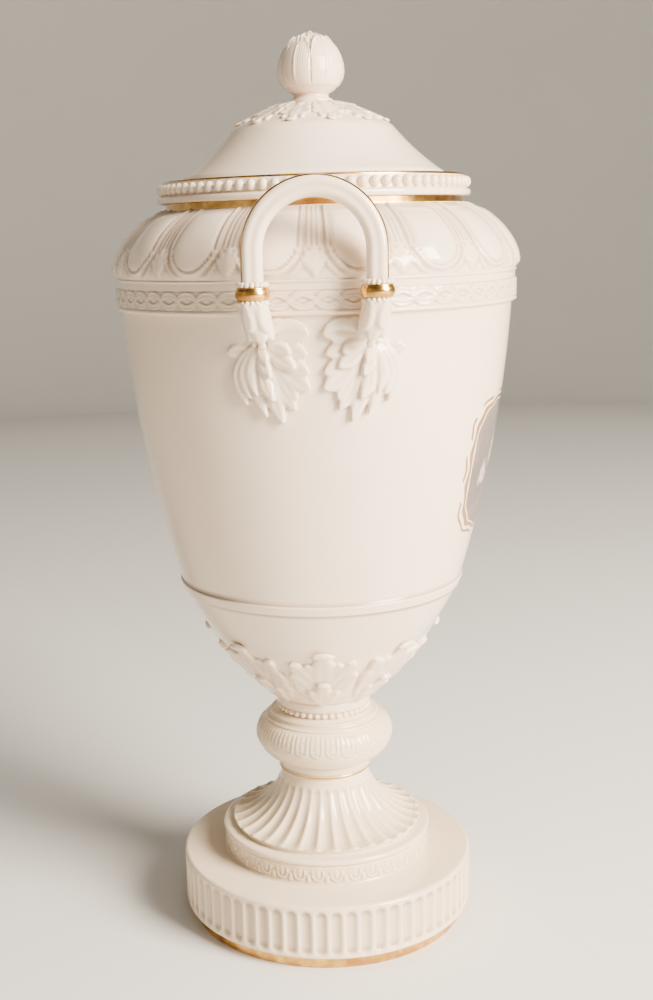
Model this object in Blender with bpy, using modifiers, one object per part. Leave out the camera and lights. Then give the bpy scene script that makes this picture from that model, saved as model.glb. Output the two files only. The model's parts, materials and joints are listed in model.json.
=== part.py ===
"""A tall lidded porcelain vase on a pedestal, with two arched handles.

Metres, +Z up. The origin is the centre of the underside, the two handles stand on +X and -X,
and the front, which carries the painting, looks along -Y. The vase is three fired pieces: the
pedestal, the hollow body with its handles, and the lid with its bud finial. All of them are
turned shapes; the carving on them is joined on from small solids set around the axis.
"""

import math

import bmesh
import bpy
from mathutils import Matrix, Vector

# Fits
SEAT_GAP = 0.0003
LID_PLAY = 0.0008

# Pedestal, from the floor up
FOOT_RIM_RADIUS = 0.0913
FOOT_RIM_HEIGHT = 0.0086
FOOT_RING_WIDTH = 0.0075
DRUM_RADIUS = 0.0960
DRUM_HEIGHT = 0.0349
DRUM_EDGE = 0.0012
DRUM_BAND = 0.0042
FLUTE_COUNT = 64
FLUTE_DEPTH = 0.0020
FLUTE_BACKING = 0.0010
FLUTE_HALF_SHARE = 0.38
STEP_RADIUS = 0.0690
STEP_HEIGHT = 0.0172
STEP_FILLET = 0.0030
STEP_RECESS = 0.0016
PETAL_RADIUS = 0.0623
PETAL_HEIGHT = 0.0386
PETAL_LIP = 0.0036
PETAL_COUNT = 32
PETAL_DEPTH = 0.0022
PETAL_BOW = 0.0078
WAIST_RADIUS = 0.0284
COLLAR_RADIUS = 0.0300
COLLAR_HEIGHT = 0.0072
TORUS_HEIGHT = 0.0336
TORUS_BULGE = 0.0142
TORUS_TOP_RADIUS = 0.0311
HOLLOW_RADIUS = 0.0289
HOLLOW_HEIGHT = 0.0052
BEAD_RADIUS = 0.0024
BEAD_ROW_RADIUS = 0.0299
PEDESTAL_THICKNESS = 0.0060
PEDESTAL_BORE = 0.0200

# Body, from the joint with the pedestal up
BOWL_FOOT_RADIUS = 0.0311
BOWL_HEIGHT = 0.0758
BOWL_BOW = 0.0046
FILLET_RADIUS = 0.0930
FILLET_HEIGHT = 0.0067
FILLET_PROUD = 0.0028
FILLET_SLOPE = 0.0026
WALL_HEIGHT = 0.1690
WALL_TOP_RADIUS = 0.1189
WALL_BOW = 0.0042
FRIEZE_RADIUS = 0.1212
FRIEZE_HEIGHT = 0.0215
FRIEZE_FILLET = 0.0028
FRIEZE_PROUD = 0.0012
SHOULDER_RADIUS = 0.1228
SHOULDER_ROLL = 0.0066
SHOULDER_HEIGHT = 0.0287
SHOULDER_BOW = 0.0042
NECK_RADIUS = 0.0902
NECK_HEIGHT = 0.0053
BODY_THICKNESS = 0.0050
FLOOR_THICKNESS = 0.0090

# Carving of the body
EGG_COUNT = 16
EGG_LENGTH = 0.0360
EGG_WIDTH = 0.0250
EGG_PROUD = 0.0022
DART_WIDTH = 0.0040
CALYX_COUNT = 8
CALYX_LENGTH = 0.0430
CALYX_WIDTH = 0.0170
CALYX_SIDE_LENGTH = 0.0300
CALYX_SIDE_WIDTH = 0.0105
CALYX_SIDE_RISE = 0.0180
CALYX_SIDE_ANGLE = 11.5
CALYX_SIDE_LEAN = 18.0
LEAF_PROUD = 0.0036
TIP_CURL = 0.0060

# Handles
HANDLE_CLEARANCE = 0.0016
HANDLE_HALF_SPAN = 0.0325
HANDLE_TUBE = 0.0068
HANDLE_ARCH_RISE = 0.0535
RING_RADIUS = 0.0096
RING_HALF_HEIGHT = 0.0030
RING_HALF_FLAT = 0.0012
BEAD_COLLAR_RADIUS = 0.0088
BEAD_COLLAR_HEIGHT = 0.0026
RING_DROP = 0.0091
HUSK_DROP = 0.0300
HUSK_RADIUS = 0.0093
HUSK_FOOT_SPAN = 0.0260
HUSK_BEND = 0.0030
# The husk's thickness from its ring down to its foot, as shares of its radius
HUSK_TAPER = (0.82, 1.0, 0.88, 0.42)
FAN_LOBE_WIDTH = 0.0135
FAN_PROUD = 0.0048
# Each lobe of the leaf under a handle's leg: its lean from straight down, outward, in degrees, and length
FAN_LOBES = ((74, 0.0230), (32, 0.0310), (4, 0.0420), (-24, 0.0390), (-62, 0.0250), (-112, 0.0180))

# Lid and finial
LID_RIM_RADIUS = 0.0918
LID_RIM_HEIGHT = 0.0126
LID_RIM_BOW = 0.0046
LID_LIP_HEIGHT = 0.0013
LID_LEDGE_RADIUS = 0.0875
LID_DOME_RADIUS = 0.0778
LID_DOME_RISE = 0.0022
LID_DOME_HEIGHT = 0.0442
LID_BEND_RADIUS = 0.0482
LID_BEND_HEIGHT = 0.0283
LID_CROWN_BOW = 0.0016
LID_FLARE_BOW = 0.0014
LID_THICKNESS = 0.0045
LID_FLANGE_DEPTH = 0.0080
LID_FLANGE_WIDTH = 0.0040
LID_LEAF_COUNT = 12
LID_LEAF_LENGTH = 0.0330
LID_LEAF_WIDTH = 0.0105
LID_LEAF_PROUD = 0.0016
BUD_RADIUS = 0.0180
BUD_HEIGHT = 0.0396
BUD_WIDEST = 0.0166
BUD_BOW = 0.0040
BUD_FOOT_BOW = 0.0025
BUD_NECK_RADIUS = 0.0112
BUD_COLLAR_RADIUS = 0.0140
BUD_LEAF_COUNT = 8
BUD_LEAF_LENGTH = 0.0222
BUD_LEAF_WIDTH = 0.0105
BUD_LEAF_PROUD = 0.0020
BUD_LEAF_SEAT = 0.66

# Facets
TURN_SIDES = 36
SMALL_TURN_SIDES = 24
BUD_SIDES = 12
RING_SIDES = 8
ARC_STEPS = 3
SEAT_STEP = 0.01
OVERLAP = 0.0010
WELD_DISTANCE = 0.00003

# Heights of the joints between stretches, worked out from the stack
DRUM_FOOT = FOOT_RIM_HEIGHT
DRUM_TOP = DRUM_FOOT + DRUM_HEIGHT
STEP_TOP = DRUM_TOP + STEP_HEIGHT
WAIST = STEP_TOP + PETAL_HEIGHT
TORUS_FOOT = WAIST + COLLAR_HEIGHT
TORUS_TOP = TORUS_FOOT + TORUS_HEIGHT
BEAD_FOOT = TORUS_TOP + HOLLOW_HEIGHT
PEDESTAL_TOP = BEAD_FOOT + 2 * BEAD_RADIUS
BODY_FOOT = PEDESTAL_TOP + SEAT_GAP
BOWL_TOP = BODY_FOOT + BOWL_HEIGHT
FILLET_TOP = BOWL_TOP + FILLET_HEIGHT
WALL_TOP = FILLET_TOP + WALL_HEIGHT
FRIEZE_TOP = WALL_TOP + FRIEZE_HEIGHT
SHOULDER_FOOT = FRIEZE_TOP + SHOULDER_ROLL
NECK_FOOT = SHOULDER_FOOT + SHOULDER_HEIGHT
NECK_TOP = NECK_FOOT + NECK_HEIGHT
LID_FOOT = NECK_TOP + SEAT_GAP
LID_LEDGE = LID_FOOT + LID_RIM_HEIGHT
DOME_TOP = LID_LEDGE + LID_DOME_HEIGHT
MOUTH_RADIUS = NECK_RADIUS - BODY_THICKNESS

COLOUR_BODY = (0.80, 0.70, 0.63, 1.0)
COLOUR_PEDESTAL = (0.80, 0.74, 0.62, 1.0)


def point(radius, height):
    return Vector((radius, 0.0, height))


def bowed_point(start, end, bow, share):
    """A point on the round arc from start to end whose middle stands out from its chord by bow."""
    along = end - start
    half = along.length / 2
    along.normalize()
    outward = Vector((-along.z, 0.0, along.x)) * math.copysign(1.0, bow)
    half_angle = 2 * math.atan(abs(bow) / half)
    radius = half / math.sin(half_angle)
    centre = (start + end) / 2 - outward * (radius - abs(bow))
    angle = half_angle * (2 * share - 1)
    return centre + radius * (outward * math.cos(angle) + along * math.sin(angle))


def bowed(start, end, bow, steps=ARC_STEPS):
    """The arc's points with both ends."""
    return [bowed_point(start, end, bow, i / steps) for i in range(steps + 1)]


def inset(arc, thickness):
    """The arc moved inward, square to its chord, by a wall's thickness."""
    start, end, bow = arc
    along = (end - start).normalized()
    inward = Vector((along.z, 0.0, -along.x)) * thickness
    return start + inward, end + inward, bow


def seat_on(start, end, bow, share, angle):
    """The frame of a turned surface: X along the outline downward, Y round the axis, Z outward."""
    before = bowed_point(start, end, bow, share - SEAT_STEP)
    after = bowed_point(start, end, bow, share + SEAT_STEP)
    down = (after - before).normalized()
    out = Vector((-down.z, 0.0, down.x))
    side = out.cross(down)
    frame = Matrix((down, side, out)).transposed().to_4x4()
    frame.translation = bowed_point(start, end, bow, share)
    return Matrix.Rotation(angle, 4, "Z") @ frame


def new_collection(name):
    collection = bpy.data.collections.new(name)
    bpy.context.scene.collection.children.link(collection)
    return collection


def add_object(name, mesh, collection, helper=False):
    thing = bpy.data.objects.new(name, mesh)
    collection.objects.link(thing)
    if helper:
        thing.hide_render = True
        thing.display_type = "WIRE"
    return thing


def mesh_from(bm, name):
    mesh = bpy.data.meshes.new(name)
    bm.to_mesh(mesh)
    bm.free()
    return mesh


def turned(name, profile, sides, collection, helper=False):
    """A profile that starts and ends on the axis and runs down its outer side, turned by a Screw.

    A third of a facet's turn keeps the facets' edges off the middle lines of the carving.
    """
    bm = bmesh.new()
    verts = [bm.verts.new(corner) for corner in profile]
    for upper, lower in zip(verts, verts[1:]):
        bm.edges.new((upper, lower))
    thing = add_object(name, mesh_from(bm, name), collection, helper)
    thing.rotation_euler.z = 2 * math.pi / sides / 3
    screw = thing.modifiers.new("Turn", "SCREW")
    screw.steps = sides
    screw.render_steps = sides
    screw.use_merge_vertices = True
    screw.merge_threshold = 0.00005
    return thing


def lobe(name, frame, length, width, height, collection, sides=4, rings=4):
    """A flattened ball, long in the frame's X, half sunk in the surface that the frame sits on."""
    bm = bmesh.new()
    bmesh.ops.create_uvsphere(bm, u_segments=sides, v_segments=rings, radius=1.0)
    turn = Matrix.Rotation(math.pi / 2, 4, "Y")
    size = Matrix.Diagonal((length / 2, width / 2, height, 1.0))
    bmesh.ops.transform(bm, matrix=frame @ size @ turn, verts=bm.verts)
    return add_object(name, mesh_from(bm, name), collection, helper=True)


def solid_from_curve(name, curve, height, collection):
    """The curve's own solid, lifted to a height and welded shut so that it can be joined."""
    drawn = add_object(name + "_path", curve, collection, helper=True)
    drawn.location.z = height
    bpy.context.view_layer.update()
    graph = bpy.context.evaluated_depsgraph_get()
    mesh = bpy.data.meshes.new_from_object(drawn.evaluated_get(graph))
    solid = add_object(name, mesh, collection, helper=True)
    solid.matrix_world = drawn.matrix_world
    bpy.data.objects.remove(drawn)
    bm = bmesh.new()
    bm.from_mesh(mesh)
    bmesh.ops.remove_doubles(bm, verts=bm.verts, dist=WELD_DISTANCE)
    bmesh.ops.recalc_face_normals(bm, faces=bm.faces)
    bm.to_mesh(mesh)
    bm.free()
    return solid


def tube(name, points, radius, collection, shares=None):
    """A round bar along the points, as a mesh that can be joined; shares thicken it point by point."""
    curve = bpy.data.curves.new(name, "CURVE")
    curve.dimensions = "3D"
    curve.bevel_depth = radius
    curve.bevel_resolution = 2
    curve.use_fill_caps = True
    spline = curve.splines.new("POLY")
    spline.points.add(len(points) - 1)
    for i, place in enumerate(points):
        spline.points[i].co = (*place, 1.0)
        spline.points[i].radius = shares[i] if shares else 1.0
    return solid_from_curve(name, curve, 0.0, collection)


def boolean(thing, operation, collection):
    """Joins or cuts the piece by every solid of a collection."""
    cut = thing.modifiers.new(operation.title(), "BOOLEAN")
    cut.operation = operation
    cut.operand_type = "COLLECTION"
    cut.collection = collection
    cut.solver = "EXACT"


def weld(thing):
    """Closes the seams where a cut left two points in one place."""
    seams = thing.modifiers.new("Weld", "WELD")
    seams.merge_threshold = WELD_DISTANCE


def porcelain(thing, name, colour):
    material = bpy.data.materials.new(name)
    material.use_nodes = True
    shader = material.node_tree.nodes["Principled BSDF"]
    shader.inputs["Base Color"].default_value = colour
    shader.inputs["Roughness"].default_value = 0.18
    shader.inputs["Metallic"].default_value = 0.0
    material.diffuse_color = colour
    thing.data.materials.append(material)


def pedestal(collection):
    """The drum, the step, the spreading petals, the collar, the torus and the bead row."""
    joined = new_collection("pedestal_joined")
    cutters = new_collection("pedestal_cutters")
    groove = DRUM_RADIUS - FLUTE_DEPTH - FLUTE_BACKING
    step_foot = point(STEP_RADIUS, DRUM_TOP)
    step_side = point(STEP_RADIUS - STEP_RECESS, STEP_TOP - STEP_FILLET)
    plinth = turned("pedestal", [
        point(0.0, STEP_TOP),
        point(STEP_RADIUS - STEP_FILLET / 2, STEP_TOP),
        point(STEP_RADIUS, STEP_TOP - STEP_FILLET / 2),
        point(STEP_RADIUS, STEP_TOP - STEP_FILLET),
        step_side,
        *bowed(point(step_side.x, DRUM_TOP + STEP_FILLET), step_foot, -STEP_FILLET / 6, 2),
        point(DRUM_RADIUS - DRUM_EDGE, DRUM_TOP),
        point(DRUM_RADIUS, DRUM_TOP - DRUM_EDGE),
        point(DRUM_RADIUS, DRUM_TOP - DRUM_BAND),
        point(groove, DRUM_TOP - DRUM_BAND),
        point(groove, DRUM_FOOT + DRUM_BAND),
        point(DRUM_RADIUS, DRUM_FOOT + DRUM_BAND),
        point(DRUM_RADIUS, DRUM_FOOT),
        point(FOOT_RIM_RADIUS, DRUM_FOOT),
        point(FOOT_RIM_RADIUS, 0.0),
        point(0.0, 0.0),
    ], TURN_SIDES, collection)
    fluted_band(joined)
    petals(joined)
    turned("pedestal_stem", [
        point(0.0, PEDESTAL_TOP),
        *bowed(point(BEAD_ROW_RADIUS, PEDESTAL_TOP), point(BEAD_ROW_RADIUS, BEAD_FOOT), BEAD_RADIUS),
        point(HOLLOW_RADIUS, BEAD_FOOT),
        point(HOLLOW_RADIUS, TORUS_TOP + HOLLOW_HEIGHT / 3),
        *bowed(point(TORUS_TOP_RADIUS, TORUS_TOP), point(COLLAR_RADIUS, TORUS_FOOT), TORUS_BULGE, 5),
        point(COLLAR_RADIUS, WAIST),
        point(0.0, WAIST),
    ], SMALL_TURN_SIDES, joined, helper=True)
    boolean(plinth, "UNION", joined)
    underside = point(FOOT_RIM_RADIUS - FOOT_RING_WIDTH, -OVERLAP)
    ceiling = point(underside.x, DRUM_TOP - PEDESTAL_THICKNESS)
    flare_foot = point(PETAL_RADIUS - PEDESTAL_THICKNESS, STEP_TOP - PEDESTAL_THICKNESS)
    throat = point(min(PEDESTAL_BORE, COLLAR_RADIUS - PEDESTAL_THICKNESS), WAIST)
    turned("pedestal_hollow", [
        point(0.0, TORUS_FOOT),
        point(throat.x, TORUS_FOOT),
        *bowed(throat, flare_foot, -PETAL_BOW),
        point(flare_foot.x, ceiling.z),
        ceiling,
        underside,
        point(0.0, -OVERLAP),
    ], SMALL_TURN_SIDES, cutters, helper=True)
    boolean(plinth, "DIFFERENCE", cutters)
    weld(plinth)
    porcelain(plinth, "ivory_porcelain", COLOUR_PEDESTAL)
    return plinth


def fluted_band(collection):
    """The drum's upright flutes: a flat outline of hollows between narrow ribs, extruded.

    The ribs stay just inside the flat sides of the faceted bands above and below them.
    """
    curve = bpy.data.curves.new("flutes", "CURVE")
    curve.dimensions = "2D"
    curve.fill_mode = "BOTH"
    height = DRUM_HEIGHT - 2 * DRUM_BAND + 2 * OVERLAP
    curve.extrude = height / 2
    pitch = 2 * math.pi / FLUTE_COUNT
    flute_outline = ((-FLUTE_HALF_SHARE, 0.0), (0.0, 1.0), (FLUTE_HALF_SHARE, 0.0))
    rib = DRUM_RADIUS * math.cos(math.pi / TURN_SIDES) - SEAT_GAP
    spline = curve.splines.new("POLY")
    spline.points.add(FLUTE_COUNT * len(flute_outline) - 1)
    spline.use_cyclic_u = True
    for i in range(FLUTE_COUNT):
        for k, (across, deep) in enumerate(flute_outline):
            angle = (i + across) * pitch
            radius = rib - deep * FLUTE_DEPTH
            place = (radius * math.cos(angle), radius * math.sin(angle), 0.0, 1.0)
            spline.points[i * len(flute_outline) + k].co = place
    solid_from_curve("flutes", curve, DRUM_FOOT + DRUM_HEIGHT / 2, collection)


def petals(collection):
    """The spreading foot: a loft from the round waist to an edge scalloped with a point per petal."""
    around = 2 * PETAL_COUNT
    sections = bowed(point(WAIST_RADIUS, WAIST + OVERLAP), point(PETAL_RADIUS, STEP_TOP + PETAL_LIP),
                     -PETAL_BOW)
    last_arc = len(sections) - 1
    sections.append(point(PETAL_RADIUS - PETAL_LIP / 2, STEP_TOP - OVERLAP))
    bm = bmesh.new()
    rings = []
    for row, section in enumerate(sections):
        groove = PETAL_DEPTH * math.sin(math.pi / 2 * min(row / last_arc, 1.0))
        ring = []
        for i in range(around):
            angle = 2 * math.pi * (i + 0.5) / around
            radius = section.x - groove * (i % 2)
            ring.append(bm.verts.new((radius * math.cos(angle), radius * math.sin(angle), section.z)))
        rings.append(ring)
    for upper, lower in zip(rings, rings[1:]):
        for i in range(around):
            following = (i + 1) % around
            bm.faces.new((upper[i], lower[i], lower[following], upper[following]))
    bm.faces.new(rings[0])
    bm.faces.new(rings[-1])
    bmesh.ops.recalc_face_normals(bm, faces=bm.faces)
    return add_object("petals", mesh_from(bm, "petals"), collection, helper=True)


def body_outline():
    """The named arcs of the body's outer side, each a start, an end and a bow."""
    fillet_foot = point(FILLET_RADIUS - FILLET_PROUD - FILLET_SLOPE, BOWL_TOP)
    return {
        "shoulder": (point(NECK_RADIUS, NECK_FOOT), point(SHOULDER_RADIUS, SHOULDER_FOOT), SHOULDER_BOW),
        "wall": (point(WALL_TOP_RADIUS, WALL_TOP), point(FILLET_RADIUS - FILLET_PROUD, FILLET_TOP), WALL_BOW),
        "bowl": (fillet_foot, point(BOWL_FOOT_RADIUS, BODY_FOOT), BOWL_BOW),
    }


def body(collection):
    """The hollow vessel with its two handles and all of its carving, one fired piece."""
    joined = new_collection("body_joined")
    cutters = new_collection("body_cutters")
    arcs = body_outline()
    vessel = turned("body", [
        point(0.0, NECK_TOP),
        point(NECK_RADIUS, NECK_TOP),
        *bowed(*arcs["shoulder"]),
        point(FRIEZE_RADIUS + FRIEZE_PROUD, FRIEZE_TOP),
        point(FRIEZE_RADIUS, FRIEZE_TOP - FRIEZE_PROUD),
        point(FRIEZE_RADIUS, WALL_TOP + FRIEZE_FILLET),
        point(FRIEZE_RADIUS + FRIEZE_PROUD, WALL_TOP + FRIEZE_FILLET),
        point(FRIEZE_RADIUS + FRIEZE_PROUD, WALL_TOP),
        *bowed(*arcs["wall"]),
        point(FILLET_RADIUS, FILLET_TOP),
        point(FILLET_RADIUS - FILLET_SLOPE, BOWL_TOP),
        *bowed(*arcs["bowl"]),
        point(0.0, BODY_FOOT),
    ], TURN_SIDES, collection)
    egg_and_dart(arcs["shoulder"], joined)
    calyx(arcs["bowl"], joined)
    for angle in (0.0, math.pi):
        for side in (-1, 1):
            handle_leg(angle, side, arcs["wall"], joined)
        arch(angle, joined)
    boolean(vessel, "UNION", joined)
    body_hollow(arcs, cutters)
    boolean(vessel, "DIFFERENCE", cutters)
    weld(vessel)
    porcelain(vessel, "warm_porcelain", COLOUR_BODY)
    return vessel


def body_hollow(arcs, collection):
    """The inside of the vessel, a wall's thickness in from each stretch of its outside.

    Where the frieze and the wall differ in radius, the inner step lies a wall's thickness beyond
    the outer one, so that the ledge between them is as thick as the wall.
    """
    ledge = WALL_TOP + math.copysign(BODY_THICKNESS, FRIEZE_RADIUS - WALL_TOP_RADIUS)
    frieze_inside = FRIEZE_RADIUS - BODY_THICKNESS
    wall_start, wall_end, wall_bow = inset(arcs["wall"], BODY_THICKNESS)
    bowl_start, _, bowl_bow = inset(arcs["bowl"], BODY_THICKNESS)
    floor = point(BOWL_FOOT_RADIUS, BODY_FOOT + FLOOR_THICKNESS)
    turned("body_hollow", [
        point(0.0, NECK_TOP + OVERLAP),
        point(MOUTH_RADIUS, NECK_TOP + OVERLAP),
        *bowed(*inset(arcs["shoulder"], BODY_THICKNESS)),
        point(frieze_inside, FRIEZE_TOP),
        point(frieze_inside, ledge),
        *bowed(point(wall_start.x, ledge), wall_end, wall_bow),
        *bowed(bowl_start, floor, bowl_bow),
        point(0.0, floor.z),
    ], SMALL_TURN_SIDES, collection, helper=True)


def egg_and_dart(shoulder, collection):
    """Sixteen eggs round the shoulder, with a dart between each two."""
    start, end, bow = shoulder
    for i in range(EGG_COUNT):
        angle = 2 * math.pi * (i + 0.5) / EGG_COUNT
        middle = seat_on(start, end, bow, 0.5, angle)
        lobe(f"egg_{i}", middle, EGG_LENGTH, EGG_WIDTH, EGG_PROUD, collection, sides=6, rings=3)
        between = seat_on(start, end, bow, 0.5, angle + math.pi / EGG_COUNT)
        lobe(f"dart_{i}", between, EGG_LENGTH, DART_WIDTH, EGG_PROUD, collection, rings=2)


def calyx(bowl, collection):
    """Eight acanthus leaves that hold the bowl, each of three lobes and a tip that curls out."""
    start, end, bow = bowl
    chord = (end - start).length
    for i in range(CALYX_COUNT):
        angle = 2 * math.pi * i / CALYX_COUNT
        middle = seat_on(start, end, bow, 1.0 - CALYX_LENGTH / 2 / chord, angle)
        lobe(f"calyx_{i}", middle, CALYX_LENGTH, CALYX_WIDTH, LEAF_PROUD, collection, rings=3)
        for side in (-1, 1):
            beside = angle + side * math.radians(CALYX_SIDE_ANGLE)
            lean = Matrix.Rotation(side * math.radians(CALYX_SIDE_LEAN), 4, "Z")
            lower = seat_on(start, end, bow, 1.0 - CALYX_SIDE_RISE / chord, beside) @ lean
            lobe(f"calyx_{i}_{side}", lower, CALYX_SIDE_LENGTH, CALYX_SIDE_WIDTH, LEAF_PROUD,
                 collection, rings=2)
        tip = seat_on(start, end, bow, 1.0 - (CALYX_LENGTH - TIP_CURL / 2) / chord, angle)
        tip = tip @ Matrix.Translation((0.0, 0.0, LEAF_PROUD / 2))
        lobe(f"calyx_tip_{i}", tip, TIP_CURL, CALYX_WIDTH, TIP_CURL / 2, collection, rings=3)


def handle_plane(height):
    """The handles' rings clear the frieze by the handle clearance; this is how far out they stand."""
    clear = max(FRIEZE_RADIUS + FRIEZE_PROUD, SHOULDER_RADIUS) + HANDLE_CLEARANCE + RING_RADIUS
    return Vector((math.sqrt(clear ** 2 - HANDLE_HALF_SPAN ** 2), 0.0, height))


def arch(angle, collection):
    """The round arch of a handle, sprung from its two rings."""
    ring_height = FRIEZE_TOP - RING_DROP
    crown = ring_height + HANDLE_ARCH_RISE
    spring = crown - HANDLE_HALF_SPAN
    path = [handle_plane(ring_height) + Vector((0.0, -HANDLE_HALF_SPAN, 0.0))]
    steps = 8
    for i in range(steps + 1):
        turn = math.pi * i / steps
        across = -HANDLE_HALF_SPAN * math.cos(turn)
        rise = HANDLE_HALF_SPAN * math.sin(turn)
        path.append(handle_plane(spring + rise) + Vector((0.0, across, 0.0)))
    path.append(handle_plane(ring_height) + Vector((0.0, HANDLE_HALF_SPAN, 0.0)))
    turned_path = [Matrix.Rotation(angle, 3, "Z") @ place for place in path]
    tube(f"arch_{math.degrees(angle):.0f}", turned_path, HANDLE_TUBE, collection)


def handle_leg(angle, side, wall, collection):
    """A ring between two collars, the husk below it, and the leaf that fans out over the wall."""
    turn = Matrix.Rotation(angle, 4, "Z")
    tag = f"{math.degrees(angle):.0f}_{side}"
    ring_height = FRIEZE_TOP - RING_DROP
    centre = handle_plane(ring_height) + Vector((0.0, side * HANDLE_HALF_SPAN, 0.0))
    edge = RING_HALF_HEIGHT + BEAD_COLLAR_HEIGHT
    ring = turned(f"ring_{tag}", [
        point(0.0, edge),
        point(BEAD_COLLAR_RADIUS, edge),
        point(BEAD_COLLAR_RADIUS, RING_HALF_HEIGHT),
        point(RING_RADIUS, RING_HALF_FLAT),
        point(RING_RADIUS, -RING_HALF_FLAT),
        point(BEAD_COLLAR_RADIUS, -RING_HALF_HEIGHT),
        point(BEAD_COLLAR_RADIUS, -edge),
        point(0.0, -edge),
    ], RING_SIDES, collection, helper=True)
    ring.location = turn @ centre
    husk_foot_height = ring_height - HUSK_DROP
    share = (WALL_TOP - husk_foot_height) / WALL_HEIGHT
    wall_radius = bowed_point(*wall, share).x
    foot_out = math.sqrt(wall_radius ** 2 - HUSK_FOOT_SPAN ** 2)
    foot = Vector((foot_out - OVERLAP, side * HUSK_FOOT_SPAN, husk_foot_height))
    swell = centre - Vector((0.0, 0.0, HUSK_DROP / 3))
    bend = centre.lerp(foot, 2 / 3) + Vector((HUSK_BEND, 0.0, 0.0))
    husk = [turn @ place for place in (centre, swell, bend, foot)]
    tube(f"husk_{tag}", husk, HUSK_RADIUS, collection, shares=HUSK_TAPER)
    fan_leaf(tag, turn, side, foot, wall, collection)


def fan_leaf(tag, turn, side, root, wall, collection):
    """Six lobes that spread from the husk's foot, the longest ones hanging down the wall."""
    root_angle = math.atan2(root.y, root.x)
    for k, (lean, length) in enumerate(FAN_LOBES):
        reach = length / 2
        drop = reach * math.cos(math.radians(lean))
        slide = side * reach * math.sin(math.radians(lean))
        share = (WALL_TOP - root.z + drop) / WALL_HEIGHT
        frame = seat_on(*wall, share, root_angle + slide / bowed_point(*wall, share).x)
        frame = turn @ frame @ Matrix.Rotation(side * math.radians(lean), 4, "Z")
        lobe(f"fan_{tag}_{k}", frame, length, FAN_LOBE_WIDTH, FAN_PROUD, collection, rings=3)


def lid(collection):
    """The hollow lid: an ogee dome with a beaded rim, a flange that drops into the mouth, a bud."""
    joined = new_collection("lid_joined")
    flange_radius = MOUTH_RADIUS - LID_PLAY
    flange_foot = LID_FOOT - LID_FLANGE_DEPTH
    bend = point(LID_BEND_RADIUS, LID_LEDGE + LID_BEND_HEIGHT)
    crown = (point(BUD_NECK_RADIUS, DOME_TOP), bend, LID_CROWN_BOW)
    flare = (bend, point(LID_DOME_RADIUS, LID_LEDGE + LID_DOME_RISE), -LID_FLARE_BOW)
    crown_start, crown_end, _ = inset(crown, LID_THICKNESS)
    flare_end = inset(flare, LID_THICKNESS)[1]
    inner_rim = flange_radius - LID_FLANGE_WIDTH
    cover = turned("lid", [
        point(0.0, DOME_TOP),
        *bowed(*crown),
        *bowed(*flare, 2)[1:],
        *bowed(point(LID_LEDGE_RADIUS, LID_LEDGE), point(LID_RIM_RADIUS, LID_FOOT + LID_LIP_HEIGHT),
               LID_RIM_BOW),
        point(LID_RIM_RADIUS, LID_FOOT),
        point(flange_radius, LID_FOOT),
        point(flange_radius, flange_foot),
        point(inner_rim, flange_foot),
        point(inner_rim, LID_LEDGE - LID_THICKNESS),
        flare_end,
        crown_end,
        crown_start,
        point(0.0, crown_start.z),
    ], TURN_SIDES, collection)
    for i in range(LID_LEAF_COUNT):
        angle = 2 * math.pi * (i + 0.5) / LID_LEAF_COUNT
        frame = seat_on(*crown, 0.5, angle)
        lobe(f"lid_leaf_{i}", frame, LID_LEAF_LENGTH, LID_LEAF_WIDTH, LID_LEAF_PROUD, joined, rings=2)
    bud(joined)
    boolean(cover, "UNION", joined)
    weld(cover)
    porcelain(cover, "warm_porcelain_lid", COLOUR_BODY)
    return cover


def bud(collection):
    """The closed bud on its short neck, wrapped in overlapping leaves."""
    widest = point(BUD_RADIUS, DOME_TOP + BUD_WIDEST)
    upper = (point(0.0, DOME_TOP + BUD_HEIGHT), widest, BUD_BOW)
    turned("bud", [
        *bowed(*upper, 4),
        *bowed(widest, point(BUD_NECK_RADIUS, DOME_TOP + OVERLAP), BUD_FOOT_BOW)[1:],
        point(BUD_COLLAR_RADIUS, DOME_TOP),
        point(BUD_COLLAR_RADIUS, DOME_TOP - OVERLAP),
        point(0.0, DOME_TOP - OVERLAP),
    ], BUD_SIDES, collection, helper=True)
    for i in range(BUD_LEAF_COUNT):
        angle = 2 * math.pi * (i + 0.5) / BUD_LEAF_COUNT
        frame = seat_on(*upper, BUD_LEAF_SEAT, angle)
        lobe(f"bud_leaf_{i}", frame, BUD_LEAF_LENGTH, BUD_LEAF_WIDTH, BUD_LEAF_PROUD, collection, rings=3)


def main():
    for thing in list(bpy.data.objects):
        bpy.data.objects.remove(thing)
    vase = new_collection("lidded_vase")
    for piece in (pedestal(vase), body(vase), lid(vase)):
        piece.data.shade_smooth()


main()
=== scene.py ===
# %% [markdown]
# # A lidded porcelain vase
#
# The real vase is slip-cast porcelain in three fired pieces: a pedestal, a hollow body with two
# arched handles, and a lid with a bud on top. Everything on it is either turned round one axis or
# a leaf laid on a turned surface. This lesson dresses the packed model: it keeps the model's sizes
# and gives each piece its fine relief, its glaze and its gilding.

# %% Load the fixed frame
import json
import math

import bmesh
import bpy
import numpy as np
from mathutils import Matrix, Vector

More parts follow.
